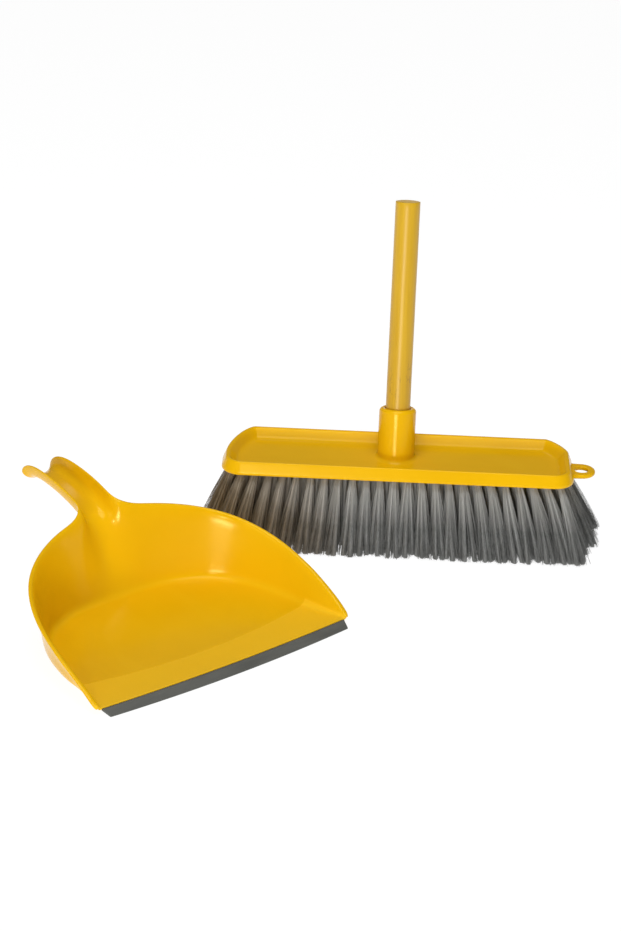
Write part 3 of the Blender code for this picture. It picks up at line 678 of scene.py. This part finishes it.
def corner_arc(corner, inset, steps):
    """A corner of the head from its end to its side, as drops from the full size.

    A corner is (across, deep, power): power 2 is an ellipse, 1 a straight chamfer.
    """
    across, deep, power = corner
    slant = hypot(across, deep)
    a = max(3.0 * MM, across - inset * (1.0 - (2.0 - power) * (slant - across) / deep))
    d = max(4.0 * MM, deep - inset * (1.0 - (2.0 - power) * (slant - deep) / across))
    points = []
    for i in range(steps + 1):
        turn = 0.5 * pi * i / steps
        x = a * (1.0 - max(0.0, cos(turn)) ** (2.0 / power))
        y = d * (1.0 - sin(turn) ** (2.0 / power))
        points.append((x + inset, y + inset))
    return points


def head_outline(inset):
    """Plan outline of the brush head, anticlockwise, pulled in by an inset."""
    length = HEAD_HALF_LENGTH
    depth = HEAD_HALF_DEPTH
    front = corner_arc(HEAD_FRONT, inset, 14)
    right = corner_arc(HEAD_BACK_RIGHT, inset, 24)
    left = corner_arc(HEAD_BACK_LEFT, inset, 24)
    straight = [x * HEAD_HALF_LENGTH / 8.0 for x in range(-6, 7)]
    outline = [(x, inset - depth) for x in straight]
    outline += [(length - x, y - depth) for x, y in reversed(front)]
    outline += [(length - x, depth - y) for x, y in right]
    outline += [(-x, depth - inset) for x in straight]
    outline += [(x - length, depth - y) for x, y in reversed(left)]
    return outline + [(x - length, y - depth) for x, y in front]


def head_tray():
    """The moulded tray: underside, sloped skirt, raised rim, dished recess."""
    rim_z = BRISTLE_LENGTH + SKIRT_HEIGHT
    inner = SKIRT_LEAN + RIM_WIDTH
    profile = rounded([
        (5.0 * MM, BRISTLE_LENGTH, 0.0),
        (0.0, BRISTLE_LENGTH, 1.3 * MM),
        (0.0, BRISTLE_LENGTH + 2.2 * MM, 1.6 * MM),
        (SKIRT_LEAN, rim_z, 1.7 * MM),
        (inner + 0.3 * MM, rim_z - 0.1 * MM, 1.4 * MM),
        (inner + RECESS_SLOPE - 1.0 * MM, recess_floor() + 0.5 * MM, 2.6 * MM),
        (inner + RECESS_SLOPE + 6.0 * MM, recess_floor(), 0.0),
    ])
    rings = [[Vector((x, y, height)) for x, y in head_outline(inset)] for inset, height in profile]
    return skin_rings("head_tray", rings)


def foot_ring(radius, height):
    """A ring of the socket's foot, level with the recess floor."""
    return [
        (x, y, (z + y * sin(POLE_LEAN)) / cos(POLE_LEAN))
        for x, y, z in circle(radius, height, SOCKET_SEGMENTS)
    ]


def socket_body():
    """The leaning socket with a fillet at its foot and a softened chamfer on top."""
    fillet = 3.4 * MM
    rings = [foot_ring(SOCKET_RADIUS + fillet, -SOCKET_SINK)]
    for k in range(8):
        turn = 0.5 * pi * k / 7
        radius = SOCKET_RADIUS + fillet * (1.0 - sin(turn))
        rings.append(foot_ring(radius, fillet * (1.0 - cos(turn))))
    top = rounded([
        (SOCKET_RADIUS, 0.5 * SOCKET_LENGTH, 0.0),
        (SOCKET_RADIUS, SOCKET_LENGTH - SOCKET_CHAMFER, 1.2 * MM),
        (SOCKET_RADIUS - SOCKET_CHAMFER, SOCKET_LENGTH, 1.0 * MM),
        (POLE_RADIUS - 2.0 * MM, SOCKET_LENGTH, 0.0),
    ], 4)
    rings += [circle(radius, height, SOCKET_SEGMENTS) for radius, height in top]
    return skin_rings("socket_body", rings, radians(50.0))


def bore_cutter():
    """The space inside the socket for the pole's end and its ferrule."""
    shoulder = SOCKET_LENGTH - POLE_IN_SOCKET
    bottom = shoulder - FERRULE_LENGTH - 2.0 * GAP
    profile = [
        (FERRULE_RADIUS + RUNNING_GAP, bottom),
        (FERRULE_RADIUS + RUNNING_GAP, shoulder - 0.6 * MM),
        (POLE_RADIUS + RUNNING_GAP, shoulder - 0.6 * MM),
        (POLE_RADIUS + RUNNING_GAP, SOCKET_LENGTH - 1.4 * MM),
        (POLE_RADIUS + 1.0 * MM, SOCKET_LENGTH - 0.5 * MM),
        (POLE_RADIUS + 1.9 * MM, SOCKET_LENGTH + 0.2 * MM),
    ]
    return turned("bore_cutter", profile, SOCKET_SEGMENTS)


def eye_body():
    """The flat hanging tab with rounded edges."""
    low = BRISTLE_LENGTH - 1.6 * MM
    half = 0.5 * EYE_THICKNESS
    root = HEAD_HALF_LENGTH - 4.0 * MM
    nose = HEAD_HALF_LENGTH + EYE_REACH - EYE_HALF_WIDTH
    outline = [(root, -EYE_HALF_WIDTH - 1.6 * MM), (root + 5.5 * MM, -EYE_HALF_WIDTH - 0.4 * MM)]
    for i in range(41):
        turn = pi * (i / 40 - 0.5)
        outline.append((nose + EYE_HALF_WIDTH * cos(turn), EYE_HALF_WIDTH * sin(turn)))
    outline += [(root + 5.5 * MM, EYE_HALF_WIDTH + 0.4 * MM), (root, EYE_HALF_WIDTH + 1.6 * MM)]
    rings = []
    for k in range(9):
        turn = pi * (k / 8 - 0.5)
        inset = 1.5 * MM * (1.0 - cos(turn))
        scale = 1.0 - inset / EYE_HALF_WIDTH
        height = low + half * (1.0 + sin(turn))
        rings.append([
            Vector((nose + (x - nose) * scale if x > nose else x, EYE_Y + y * scale, height))
            for x, y in outline
        ])
    return skin_rings("eye_body", rings)


def eye_cutter():
    """The hanging hole, eased at both faces."""
    low = BRISTLE_LENGTH - 1.6 * MM
    high = low + EYE_THICKNESS
    ease = 0.9 * MM
    profile = [
        (EYE_HOLE_RADIUS + 1.6 * MM, low - 0.4 * MM),
        (EYE_HOLE_RADIUS + 0.35 * MM, low + 0.5 * ease),
        (EYE_HOLE_RADIUS, low + ease),
        (EYE_HOLE_RADIUS, high - ease),
        (EYE_HOLE_RADIUS + 0.35 * MM, high - 0.5 * ease),
        (EYE_HOLE_RADIUS + 1.6 * MM, high + 0.4 * MM),
    ]
    return turned("eye_cutter", profile, 64)


def build_head(material, place):
    """The brush head, socket and hanging eye joined into one moulding."""
    obj = add_object("head_moulding", head_tray(), material)
    obj.matrix_world = place
    eye_x = HEAD_HALF_LENGTH + EYE_REACH - EYE_HALF_WIDTH
    eye_place = place @ Matrix.Translation((eye_x, EYE_Y, 0.0))
    tools = [
        add_boolean(obj, "UNION", socket_body(), place @ pole_frame()),
        add_boolean(obj, "UNION", eye_body(), place),
        add_boolean(obj, "DIFFERENCE", bore_cutter(), place @ pole_frame()),
        add_boolean(obj, "DIFFERENCE", eye_cutter(), eye_place),
    ]
    evaluated_copy(obj)
    for tool in tools:
        bpy.data.objects.remove(tool, do_unlink=True)
    flat_weighted(obj, radians(38.0))
    register(obj, "brush", "yellow_plastic", "brush_head")


def build_pole(material, place):
    """The pole: a rounded cut end and a barely uneven barrel."""
    shoulder = SOCKET_LENGTH - POLE_IN_SOCKET
    top = SOCKET_LENGTH + POLE_ABOVE_SOCKET
    drill = shoulder + SPIGOT_LENGTH + 1.0 * MM
    step = (top - shoulder - 1.0 * MM) / 48
    barrel = [(POLE_RADIUS, shoulder + 0.5 * MM + step * k) for k in range(49)]
    profile = [
        (SPIGOT_RADIUS + RUNNING_GAP, drill),
        (SPIGOT_RADIUS + RUNNING_GAP, shoulder),
        (POLE_RADIUS - 0.5 * MM, shoulder),
        *barrel,
        (POLE_RADIUS - 0.15 * MM, top - 0.15 * MM),
        (POLE_RADIUS - 0.55 * MM, top),
        (0.6 * POLE_RADIUS, top),
    ]
    obj = add_object("pole_stick", turned("pole_stick", profile, 96, radians(50.0)), material)
    for vertex in obj.data.vertices:
        x, y, z = vertex.co
        spread = hypot(x, y)
        if spread > 0.9 * POLE_RADIUS:
            angle = atan2(y, x)
            dent = 0.5 + 0.5 * sin(3.0 * angle + 55.0 * z) * sin(2.0 * angle - 31.0 * z)
            shrink = 1.0 - 0.006 * dent
            vertex.co.x = x * shrink
            vertex.co.y = y * shrink
    obj.data.transform(place @ pole_frame())
    register(obj, "pole", "yellow_lacquer", "pole")


def build_ferrule(material, place):
    """The plastic ferrule with its coarse rounded thread, and its spigot in the pole."""
    shoulder = SOCKET_LENGTH - POLE_IN_SOCKET
    bottom = shoulder - FERRULE_LENGTH - GAP
    top = shoulder - GAP
    rings = []
    for k in range(THREAD_LEVELS + 1):
        height = bottom + (top - bottom) * k / THREAD_LEVELS
        lead = min(1.0, (height - bottom) / (2.0 * MM))
        ring = []
        for i in range(THREAD_SEGMENTS):
            angle = tau * i / THREAD_SEGMENTS
            wave = 0.5 + 0.5 * cos(tau * (height / THREAD_PITCH) - angle)
            crest = max(0.0, min(1.0, 1.8 * wave - 0.5))
            if height > top - COLLAR_HEIGHT:
                crest = 1.0
            radius = FERRULE_RADIUS - THREAD_DEPTH * (1.0 - crest) - THREAD_DEPTH * (1.0 - lead)
            ring.append((radius * cos(angle), radius * sin(angle), height))
        rings.append(ring)
    for height in (top + 0.02 * MM, top + SPIGOT_LENGTH):
        rings.append(circle(SPIGOT_RADIUS, height, THREAD_SEGMENTS))
    mesh = skin_rings("ferrule_thread", rings, radians(50.0))
    mesh.transform(place @ pole_frame())
    obj = add_object("ferrule_thread", mesh, material)
    register(obj, "pole_thread", "white_plastic", "pole_ferrule")


# --- bristles

def strands(roots, tips, bows, radii, levels, taper):
    """Closed three-sided filaments as arrays of points and faces."""
    count = len(roots)
    along = tips - roots
    axis = along / np.linalg.norm(along, axis=1, keepdims=True)
    helper = np.tile(np.array([[0.35, 1.0, 0.1]]), (count, 1))
    side = np.cross(axis, helper)
    side /= np.linalg.norm(side, axis=1, keepdims=True)
    other = np.cross(axis, side)
    t = np.linspace(0.0, 1.0, levels + 1)
    centre = roots[:, None] + along[:, None] * t[None, :, None]
    centre = centre + bows[:, None] * np.sin(np.pi * t)[None, :, None]
    size = radii[:, None] * (1.0 - taper * t ** 2)[None, :]
    points = []
    for k in range(3):
        angle = tau * k / 3
        spoke = side * cos(angle) + other * sin(angle)
        points.append(centre + spoke[:, None] * size[:, :, None])
    points = np.stack(points, axis=2)
    base = np.arange(count)[:, None, None] * (levels + 1) * 3
    level = np.arange(levels)[None, :, None] * 3
    corner = np.arange(3)[None, None, :]
    after = (corner + 1) % 3
    quads = np.stack([
        base + level + corner, base + level + after,
        base + level + 3 + after, base + level + 3 + corner,
    ], axis=-1).reshape(-1, 4)
    first = np.arange(count)[:, None] * (levels + 1) * 3
    caps = np.concatenate([
        first + np.array([[2, 1, 0]]),
        first + levels * 3 + np.array([[0, 1, 2]]),
    ])
    return points.reshape(-1, 3), quads, caps


def strands_mesh(name, parts):
    """One mesh from several bundles of filaments."""
    points = []
    faces = []
    for verts, quads, caps in parts:
        faces += (quads + len(points)).tolist() + (caps + len(points)).tolist()
        points += verts.tolist()
    mesh = bpy.data.meshes.new(name)
    mesh.from_pydata(points, [], faces)
    mesh.validate()
    mesh.shade_smooth()
    return mesh


def corner_loss(y, corner):
    """How far a corner of the head draws its end in, at a depth."""
    across, deep, power = corner
    past = max(0.0, y - (HEAD_HALF_DEPTH - deep)) / deep
    return across * (1.0 - (1.0 - past ** power) ** (1.0 / power))


def row_reach(y, share):
    """Half length of a row of bristles, drawn in under the head's corners."""
    back = HEAD_BACK_RIGHT if share > 0.0 else HEAD_BACK_LEFT
    return TUFT_HALF_SPAN - max(corner_loss(-y, HEAD_FRONT), corner_loss(y, back))


def tuft_splay(share):
    """How far tips lean outward, by their place from -1 to 1 along the head."""
    reach, power = TUFT_SPLAY_RIGHT if share > 0.0 else TUFT_SPLAY_LEFT
    return copysign(reach * abs(share) ** power, share)


def core(rng, root, tip, bow):
    """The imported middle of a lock: a ridged bundle that ends short of the tips."""
    ridges = rng.uniform(0.7, 1.0, CORE_SIDES)
    turn = np.arange(CORE_SIDES) * tau / CORE_SIDES
    spokes = np.stack([np.cos(turn) * ridges, np.sin(turn) * ridges, np.zeros(CORE_SIDES)], axis=1)
    short = 1.0 - CORE_SHORT / BRISTLE_LENGTH
    levels = [(short * k / CORE_LEVELS, 1.0) for k in range(CORE_LEVELS + 1)]
    levels += [(short + 0.008, 0.85), (short + 0.013, 0.45)]
    rings = []
    for along, swell in levels:
        centre = root + (tip - root) * along + bow * sin(pi * along)
        radius = LOCK_ROOT + (LOCK_TIP - LOCK_ROOT) * along
        rings.append(centre + spokes * radius * CORE_SHARE * swell)
    level = np.arange(len(levels) - 1)[:, None] * CORE_SIDES
    corner = np.arange(CORE_SIDES)[None, :]
    after = (corner + 1) % CORE_SIDES
    quads = np.stack([
        level + after, level + corner,
        level + CORE_SIDES + corner, level + CORE_SIDES + after,
    ], axis=-1).reshape(-1, 4)
    first = np.arange(CORE_SIDES)
    caps = np.stack([first, first[::-1] + (len(levels) - 1) * CORE_SIDES])
    return np.concatenate(rings), quads, caps


def disc(rng, count):
    """Even random points in the unit disc."""
    turn = rng.uniform(0.0, tau, count)
    reach = np.sqrt(rng.uniform(0.0, 1.0, count))
    return np.stack([reach * np.cos(turn), reach * np.sin(turn)], axis=1)


def lock(rng, root, tip, bow):
    """One lock of a tuft: filaments round a packed core, with split ends."""
    spots = disc(rng, LOCK_STRANDS)
    reach = np.linalg.norm(spots, axis=1)
    flat = np.concatenate([spots, np.zeros((LOCK_STRANDS, 1))], axis=1)
    roots = root + flat * LOCK_ROOT
    tips = tip + flat * LOCK_TIP
    tips[:, :2] += rng.normal(0.0, TIP_JITTER, (LOCK_STRANDS, 2))
    tips[:, 1] = np.clip(tips[:, 1], -TUFT_TIP_BACK, TUFT_TIP_BACK)
    tips[:, 2] += TIP_DOME * reach ** 2 + rng.gamma(*TIP_SHORT, LOCK_STRANDS)
    bows = bow + rng.normal(0.0, LOCK_JITTER, (LOCK_STRANDS, 3)) * LEVEL
    radii = rng.uniform(*STRAND_RADII, LOCK_STRANDS)
    parts = [strands(roots, tips, bows, radii, 6, 0.35), core(rng, root, tip, bow)]
    # Split ends: finer hairs that leave each filament near its tip.
    for _ in range(SPLIT_ENDS):
        from_share = rng.uniform(0.68, 0.86, (LOCK_STRANDS, 1))
        starts = roots + (tips - roots) * from_share + bows * np.sin(np.pi * from_share)
        away = rng.normal(0.0, 0.7 * MM, (LOCK_STRANDS, 3)) * np.array([[1.0, 1.0, 0.3]])
        ends = tips + away
        ends[:, 2] += rng.uniform(-0.6 * MM, 1.0 * MM, LOCK_STRANDS)
        ends[:, 2] = np.maximum(ends[:, 2], 0.15 * MM)
        fine = np.full(LOCK_STRANDS, SPLIT_RADIUS)
        parts.append(strands(starts, ends, np.zeros((LOCK_STRANDS, 3)), fine, 2, 0.3))
    return parts


def tuft_bundle(rng, share, row, side):
    """The locks of one stapled tuft, fanned out from its hole."""
    root_y, tip_y = HOLE_ROWS[row]
    stagger = 0.25 * (1.0 if row % 2 else -1.0) * side
    share = share + 2.0 * stagger / TUFT_COLUMNS
    splay = ROW_SPLAYS[side][row] if share > 0.0 else LEFT_ROW_SPLAYS[side]
    splay *= tuft_splay(share)
    reach_x = row_reach(side * root_y, share) * share
    root = np.array([reach_x, side * root_y, BRISTLE_LENGTH + 0.5 * MM])
    tip_x = root[0] + splay + rng.normal(0.0, LOCK_JITTER)
    tip = np.array([tip_x, side * tip_y * rng.uniform(0.97, 1.03), 0.3 * MM])
    parts = []
    turn = rng.uniform(0.0, tau)
    for k in range(LOCKS):
        angle = turn + tau * k / LOCKS + rng.uniform(-0.3, 0.3)
        reach = rng.uniform(0.5, 0.8)
        place = np.array([cos(angle) * reach, sin(angle) * reach, 0.0])
        spread = place * np.array([TIP_SPREAD_X, TIP_SPREAD_Y, 0.0])
        drop = np.array([0.0, 0.0, rng.uniform(0.0, 1.4 * MM)])
        bow = (tip - root) * BOW_SHARES + rng.normal(0.0, LOCK_BOW, 3) * LEVEL
        parts += lock(rng, root + place * 0.7 * HOLE_RADIUS, tip + spread + drop, bow)
    return parts


def build_tufts(material, place):
    """Every stapled tuft of both halves of the head, one piece for each CAD tuft."""
    rng = np.random.default_rng(20)
    turn = np.array(place.to_3x3())
    shift = np.array(place.translation)
    for name, side in (("front", -1.0), ("back", 1.0)):
        for column in range(TUFT_COLUMNS):
            share = (2.0 * column + 1.0) / TUFT_COLUMNS - 1.0
            parts = []
            for row in range(len(HOLE_ROWS)):
                parts += tuft_bundle(rng, share, row, side)
            parts = [(verts @ turn.T + shift, quads, caps) for verts, quads, caps in parts]
            node = f"tuft_{name}_{column + 1:02d}"
            mesh = strands_mesh(node, parts)
            obj = add_object(f"strands_{name}_{column + 1:02d}", mesh, material)
            register(obj, "brush", "grey_filament", node)


# --- materials

class Look:
    """A node material under construction; inputs take a socket or a value.

    Its patterns lie in the frame of the piece's place. The first colour and
    roughness only serve where nodes are not read.
    """

    def __init__(self, name, colour, roughness, place=Matrix.Identity(4)):
        self.material = bpy.data.materials.new(name)
        self.material.use_nodes = True
        self.tree = self.material.node_tree
        self.shader = self.tree.nodes["Principled BSDF"]
        self.set("Base Color", (*colour, 1.0))
        self.set("Roughness", roughness)
        shared = self.node("ShaderNodeTexCoord").outputs["Object"]
        turn = place.inverted()
        self.coordinates = self.mapped(shared, Rotation=turn.to_euler(), Location=turn.translation)

    def put(self, socket, value):
        """Link an input to a socket, or give it a value."""
        if isinstance(value, bpy.types.NodeSocket):
            self.tree.links.new(value, socket)
        else:
            socket.default_value = value

    def set(self, key, value):
        """Set one of the shader's inputs."""
        self.put(self.shader.inputs[key], value)

    def node(self, kind, inputs=(), **settings):
        """Add a node with its properties and inputs."""
        made = self.tree.nodes.new(kind)
        for key, value in settings.items():
            setattr(made, key, value)
        for key, value in dict(inputs).items():
            self.put(made.inputs[key], value)
        return made

    def axes(self, vector):
        """The X, Y and Z values of a vector, by name."""
        return self.node("ShaderNodeSeparateXYZ", {"Vector": vector}).outputs

    def mapped(self, vector, **values):
        """Coordinates after a turn, a shift or a scaling."""
        return self.node("ShaderNodeMapping", {"Vector": vector, **values}).outputs["Vector"]

    def noise(self, scale, detail=3.0, roughness=0.5, distortion=0.0, turn=0.0):
        """Noise from 0 to 1, by one scale or by one for each axis after a turn about Z."""
        vector = self.coordinates
        if isinstance(scale, tuple):
            vector = self.mapped(vector, Rotation=(0.0, 0.0, turn))
            vector = self.mapped(vector, Scale=scale)
            scale = 1.0
        values = {"Vector": vector, "Scale": scale, "Detail": detail,
                  "Roughness": roughness, "Distortion": distortion}
        return self.node("ShaderNodeTexNoise", values).outputs["Fac"]

    def span(self, value, low, high, to_low=0.0, to_high=1.0):
        """Map a value's range, clamped."""
        values = {"Value": value, "From Min": low, "From Max": high,
                  "To Min": to_low, "To Max": to_high}
        return self.node("ShaderNodeMapRange", values).outputs["Result"]

    def mix(self, factor, first, second):
        """Mix two colours; each is a colour or a socket."""
        made = self.node("ShaderNodeMix", {"Factor": factor}, data_type="RGBA")
        for key, colour in (("A", first), ("B", second)):
            socket = [s for s in made.inputs if s.name == key and s.type == "RGBA"][0]
            self.put(socket, (*colour, 1.0) if isinstance(colour, tuple) else colour)
        return [s for s in made.outputs if s.type == "RGBA"][0]

    def combine(self, operation, first, second):
        """Two values joined by a sum, a product or a similar step."""
        made = self.node("ShaderNodeMath", {0: first, 1: second}, operation=operation)
        return made.outputs["Value"]

    def bump(self, height, strength, distance, onto=None):
        """A bump over the surface, on top of another one."""
        values = {"Height": height, "Strength": strength, "Distance": distance}
        if onto is not None:
            values["Normal"] = onto
        return self.node("ShaderNodeBump", values).outputs["Normal"]


def yellow_plastic():
    """Glossy moulded polypropylene with faint flow marks, fine scuffs and a painted sheen on the
    pan's ramp.
    """
    look = Look("yellow_plastic_look", (0.84, 0.43, 0.006), 0.3)
    broad = look.noise(14.0, 2.0)
    flow = look.noise((40.0, 9.0, 30.0), 4.0, 0.6, 0.8)
    fine = look.noise(420.0, 3.0, 0.6)
    scuffs = look.noise((300.0, 36.0, 160.0), 3.0, 0.7, 0.4, 0.6)
    shade = look.mix(look.span(broad, 0.3, 0.7), (0.84, 0.462, 0.002), (0.88, 0.492, 0.003))
    shade = look.mix(look.span(flow, 0.45, 0.75, 0.0, 0.5), shade, (0.88, 0.505, 0.005))
    # The pan's ramp gets a painted pale sheen, standing in for the reflection of the bright
    # surroundings behind the pan, and is a little more matt than the floor behind it.
    own = look.axes(look.coordinates)
    square = look.combine("MULTIPLY", own["X"], own["X"])
    behind = look.combine("SUBTRACT", own["Y"], look.combine("MULTIPLY", square, FOLD_CURVE))
    fold = LIP_Y + RAMP_DEPTH
    before_fold = look.span(behind, fold - 1.0 * MM, fold + 1.0 * MM, 1.0, 0.0)
    below_wall = look.span(own["Z"], RAMP_TOP, RAMP_TOP + 2.0 * MM, 1.0, 0.0)
    ramp = look.combine("MULTIPLY", before_fold, below_wall)
    # Painted sheen: the ramp's colour is mixed towards a pale yellow.
    shade = look.mix(look.combine("MULTIPLY", ramp, 0.6), shade, (1.0, 0.6, 0.02))
    look.set("Base Color", shade)
    worn = look.span(scuffs, 0.55, 0.75, 0.0, 0.05)
    rough = look.combine("ADD", look.span(fine, 0.3, 0.7, 0.16, 0.2), worn)
    rough = look.combine("ADD", rough, look.combine("MULTIPLY", ramp, 0.12))
    look.set("Roughness", rough)
    peel = look.bump(look.noise(160.0, 2.0), 0.05, 0.0006)
    look.set("Normal", look.bump(scuffs, 0.04, 0.0002, peel))
    look.set("IOR", 1.45)
    look.set("Specular IOR Level", 0.33)
    look.set("Specular Tint", (1.0, 0.83, 0.32, 1.0))
    return look.material


def grey_rubber():
    """Matt soft rubber with a fine grain and a dusty bloom."""
    look = Look("grey_rubber_look", (0.125, 0.13, 0.12), 0.6)
    grain = look.noise(900.0, 3.0, 0.7)
    bloom = look.noise((12.0, 60.0, 60.0), 4.0, 0.6, 0.5)
    shade = look.mix(look.span(bloom, 0.35, 0.7), (0.086, 0.088, 0.078), (0.12, 0.122, 0.108))
    look.set("Base Color", shade)
    look.set("Roughness", look.span(bloom, 0.3, 0.7, 0.5, 0.68))
    look.set("Normal", look.bump(grain, 0.18, 0.0002))
    return look.material


def grey_filament(place):
    """Grey plastic filaments, each tuft and hair a little different."""
    look = Look("grey_filament_look", (0.2, 0.2, 0.19), 0.45, place)
    hairs = look.noise((1500.0, 1500.0, 9.0), 2.0, 0.6)
    clumps = look.noise((110.0, 110.0, 4.0), 2.0)
    along = look.noise((260.0, 260.0, 50.0), 2.0)
    shade = look.mix(look.span(hairs, 0.32, 0.68), (0.095, 0.096, 0.091), (0.215, 0.218, 0.21))
    shade = look.mix(look.span(clumps, 0.35, 0.7, 0.0, 0.35), shade, (0.11, 0.108, 0.1))
    shade = look.mix(look.span(along, 0.5, 0.8, 0.0, 0.4), shade, (0.28, 0.28, 0.27))
    # Painted light: paler towards the roots, making up for the shade under the head.
    own = look.axes(look.coordinates)
    # Painted light: the colour is lifted towards pale grey near the roots.
    painted_root_light = look.span(own["Z"], 0.4 * BRISTLE_LENGTH, BRISTLE_LENGTH, 0.0, 0.8)
    shade = look.mix(painted_root_light, shade, (0.62, 0.61, 0.57))
    # Painted reflection: a warm brown towards the left end, standing in for light bounced from the
    # yellow pan.
    painted_pan_bounce = look.span(own["X"], -HEAD_HALF_LENGTH, -0.25 * HEAD_HALF_LENGTH, 0.75, 0.0)
    shade = look.mix(painted_pan_bounce, shade, (0.225, 0.148, 0.055))
    look.set("Base Color", shade)
    look.set("Roughness", look.span(hairs, 0.3, 0.7, 0.38, 0.55))
    look.set("Normal", look.bump(along, 0.1, 0.0001))
    return look.material


def yellow_lacquer(place):
    """Turned wood under a thin glossy yellow coat: grain, streaks, pits near the foot."""
    look = Look("yellow_lacquer_look", (0.72, 0.44, 0.03), 0.3, place @ pole_frame())
    grain = look.noise((260.0, 260.0, 7.0), 4.0, 0.65, 0.5)
    streak = look.noise((70.0, 70.0, 3.0), 3.0, 0.6, 0.4)
    shade = look.mix(look.span(grain, 0.3, 0.7), (0.59, 0.335, 0.008), (0.72, 0.438, 0.016))
    shade = look.mix(look.span(streak, 0.45, 0.75, 0.0, 0.45), shade, (0.56, 0.31, 0.02))
    height = look.axes(look.coordinates)["Z"]
    low = look.span(height, SOCKET_LENGTH, SOCKET_LENGTH + PIT_REACH, 1.0, 0.0)
    pits = look.noise((420.0, 420.0, 150.0), 2.0, 0.6, 0.6)
    patch = look.noise((90.0, 90.0, 30.0), 1.0)
    dark = look.combine("MULTIPLY", look.span(pits, 0.58, 0.68), look.span(patch, 0.45, 0.6))
    dark = look.combine("MULTIPLY", dark, low)
    shade = look.mix(dark, shade, (0.2, 0.1, 0.02))
    look.set("Base Color", shade)
    look.set("Roughness", look.span(grain, 0.3, 0.7, 0.3, 0.4))
    surface = look.bump(grain, 0.12, 0.0003)
    look.set("Normal", look.bump(dark, -0.5, 0.0004, surface))
    look.set("IOR", 1.5)
    look.set("Specular Tint", (1.0, 0.92, 0.76, 1.0))
    return look.material


def white_plastic():
    """Plain moulded plastic with a soft sheen."""
    look = Look("white_plastic_look", (0.72, 0.71, 0.66), 0.4)
    mottled = look.noise(90.0, 3.0)
    fine = look.noise(700.0, 2.0)
    shade = look.mix(look.span(mottled, 0.3, 0.7), (0.68, 0.67, 0.62), (0.77, 0.76, 0.72))
    look.set("Base Color", shade)
    look.set("Roughness", look.span(fine, 0.3, 0.7, 0.34, 0.46))
    look.set("Normal", look.bump(fine, 0.05, 0.0002))
    return look.material


# --- stage and camera

def build_floor():
    """A plain pale floor with a light of its own, like a lit white sweep."""
    mesh = bpy.data.meshes.new("studio_floor")
    corners = [(x * FLOOR_HALF_SIZE, y * FLOOR_HALF_SIZE, 0.0)
               for x, y in ((-1, -1), (1, -1), (1, 1), (-1, 1))]
    mesh.from_pydata(corners, [], [(0, 1, 2, 3)])
    look = Look("studio_floor", FLOOR_GREY, 0.9)
    look.set("Specular IOR Level", 0.1)
    look.set("Emission Color", (1.0, 1.0, 1.0, 1.0))
    look.set("Emission Strength", FLOOR_GLOW)
    floor = add_object("studio_floor", mesh, look.material)
    floor.location = (0.0, 0.0, -FLOOR_DROP)


def around(azimuth, elevation, distance, target):
    """A point seen from a target at a compass angle and an elevation, in degrees."""
    a = radians(azimuth)
    e = radians(elevation)
    back = Vector((sin(a) * cos(e), -cos(a) * cos(e), sin(e)))
    return Vector(target) + distance * back


def aimed(place, target):
    """Matrix that looks from a place at a target, its X axis level."""
    aim = (place - Vector(target)).to_track_quat("Z", "Y")
    return Matrix.Translation(place) @ aim.to_matrix().to_4x4()


def build_lights():
    """Faint even light from the world, and the soft boxes."""
    world = bpy.data.worlds.new("studio_world")
    world.use_nodes = True
    background = world.node_tree.nodes["Background"]
    background.inputs["Color"].default_value = (1.0, 1.0, 1.0, 1.0)
    background.inputs["Strength"].default_value = WORLD_STRENGTH
    bpy.context.scene.world = world
    for name, azimuth, elevation, distance, target, size, power in SOFTBOXES:
        light = bpy.data.lights.new(name, "AREA")
        light.shape = "RECTANGLE"
        light.size, light.size_y = size
        light.energy = power
        lamp = link_object(name, light)
        lamp.matrix_world = aimed(around(azimuth, elevation, distance, target), target)
        lamp.visible_camera = False


def build_camera():
    """The camera of the photo's view, from the front left and a little above."""
    camera = bpy.data.cameras.new("camera")
    camera.lens = CAMERA_LENS
    obj = link_object("camera", camera)
    place = around(*CAMERA_AROUND, CAMERA_TARGET)
    obj.matrix_world = aimed(place, CAMERA_TARGET) @ Matrix.Rotation(CAMERA_ROLL, 4, "Z")
    bpy.context.scene.camera = obj


def main():
    """Build every piece, the stage and the view."""
    place = Matrix.Translation((BRUSH_X, BRUSH_Y, 0.0)) @ Matrix.Rotation(BRUSH_TURN, 4, "Z")
    yellow = yellow_plastic()
    build_pan(yellow)
    build_rubber_lip(grey_rubber())
    build_head(yellow, place)
    build_tufts(grey_filament(place), place)
    build_ferrule(white_plastic(), place)
    build_pole(yellow_lacquer(place), place)
    build_floor()
    build_lights()
    build_camera()
    bpy.context.scene.view_settings.view_transform = "Standard"
    bpy.context.scene.view_settings.look = "None"


main()
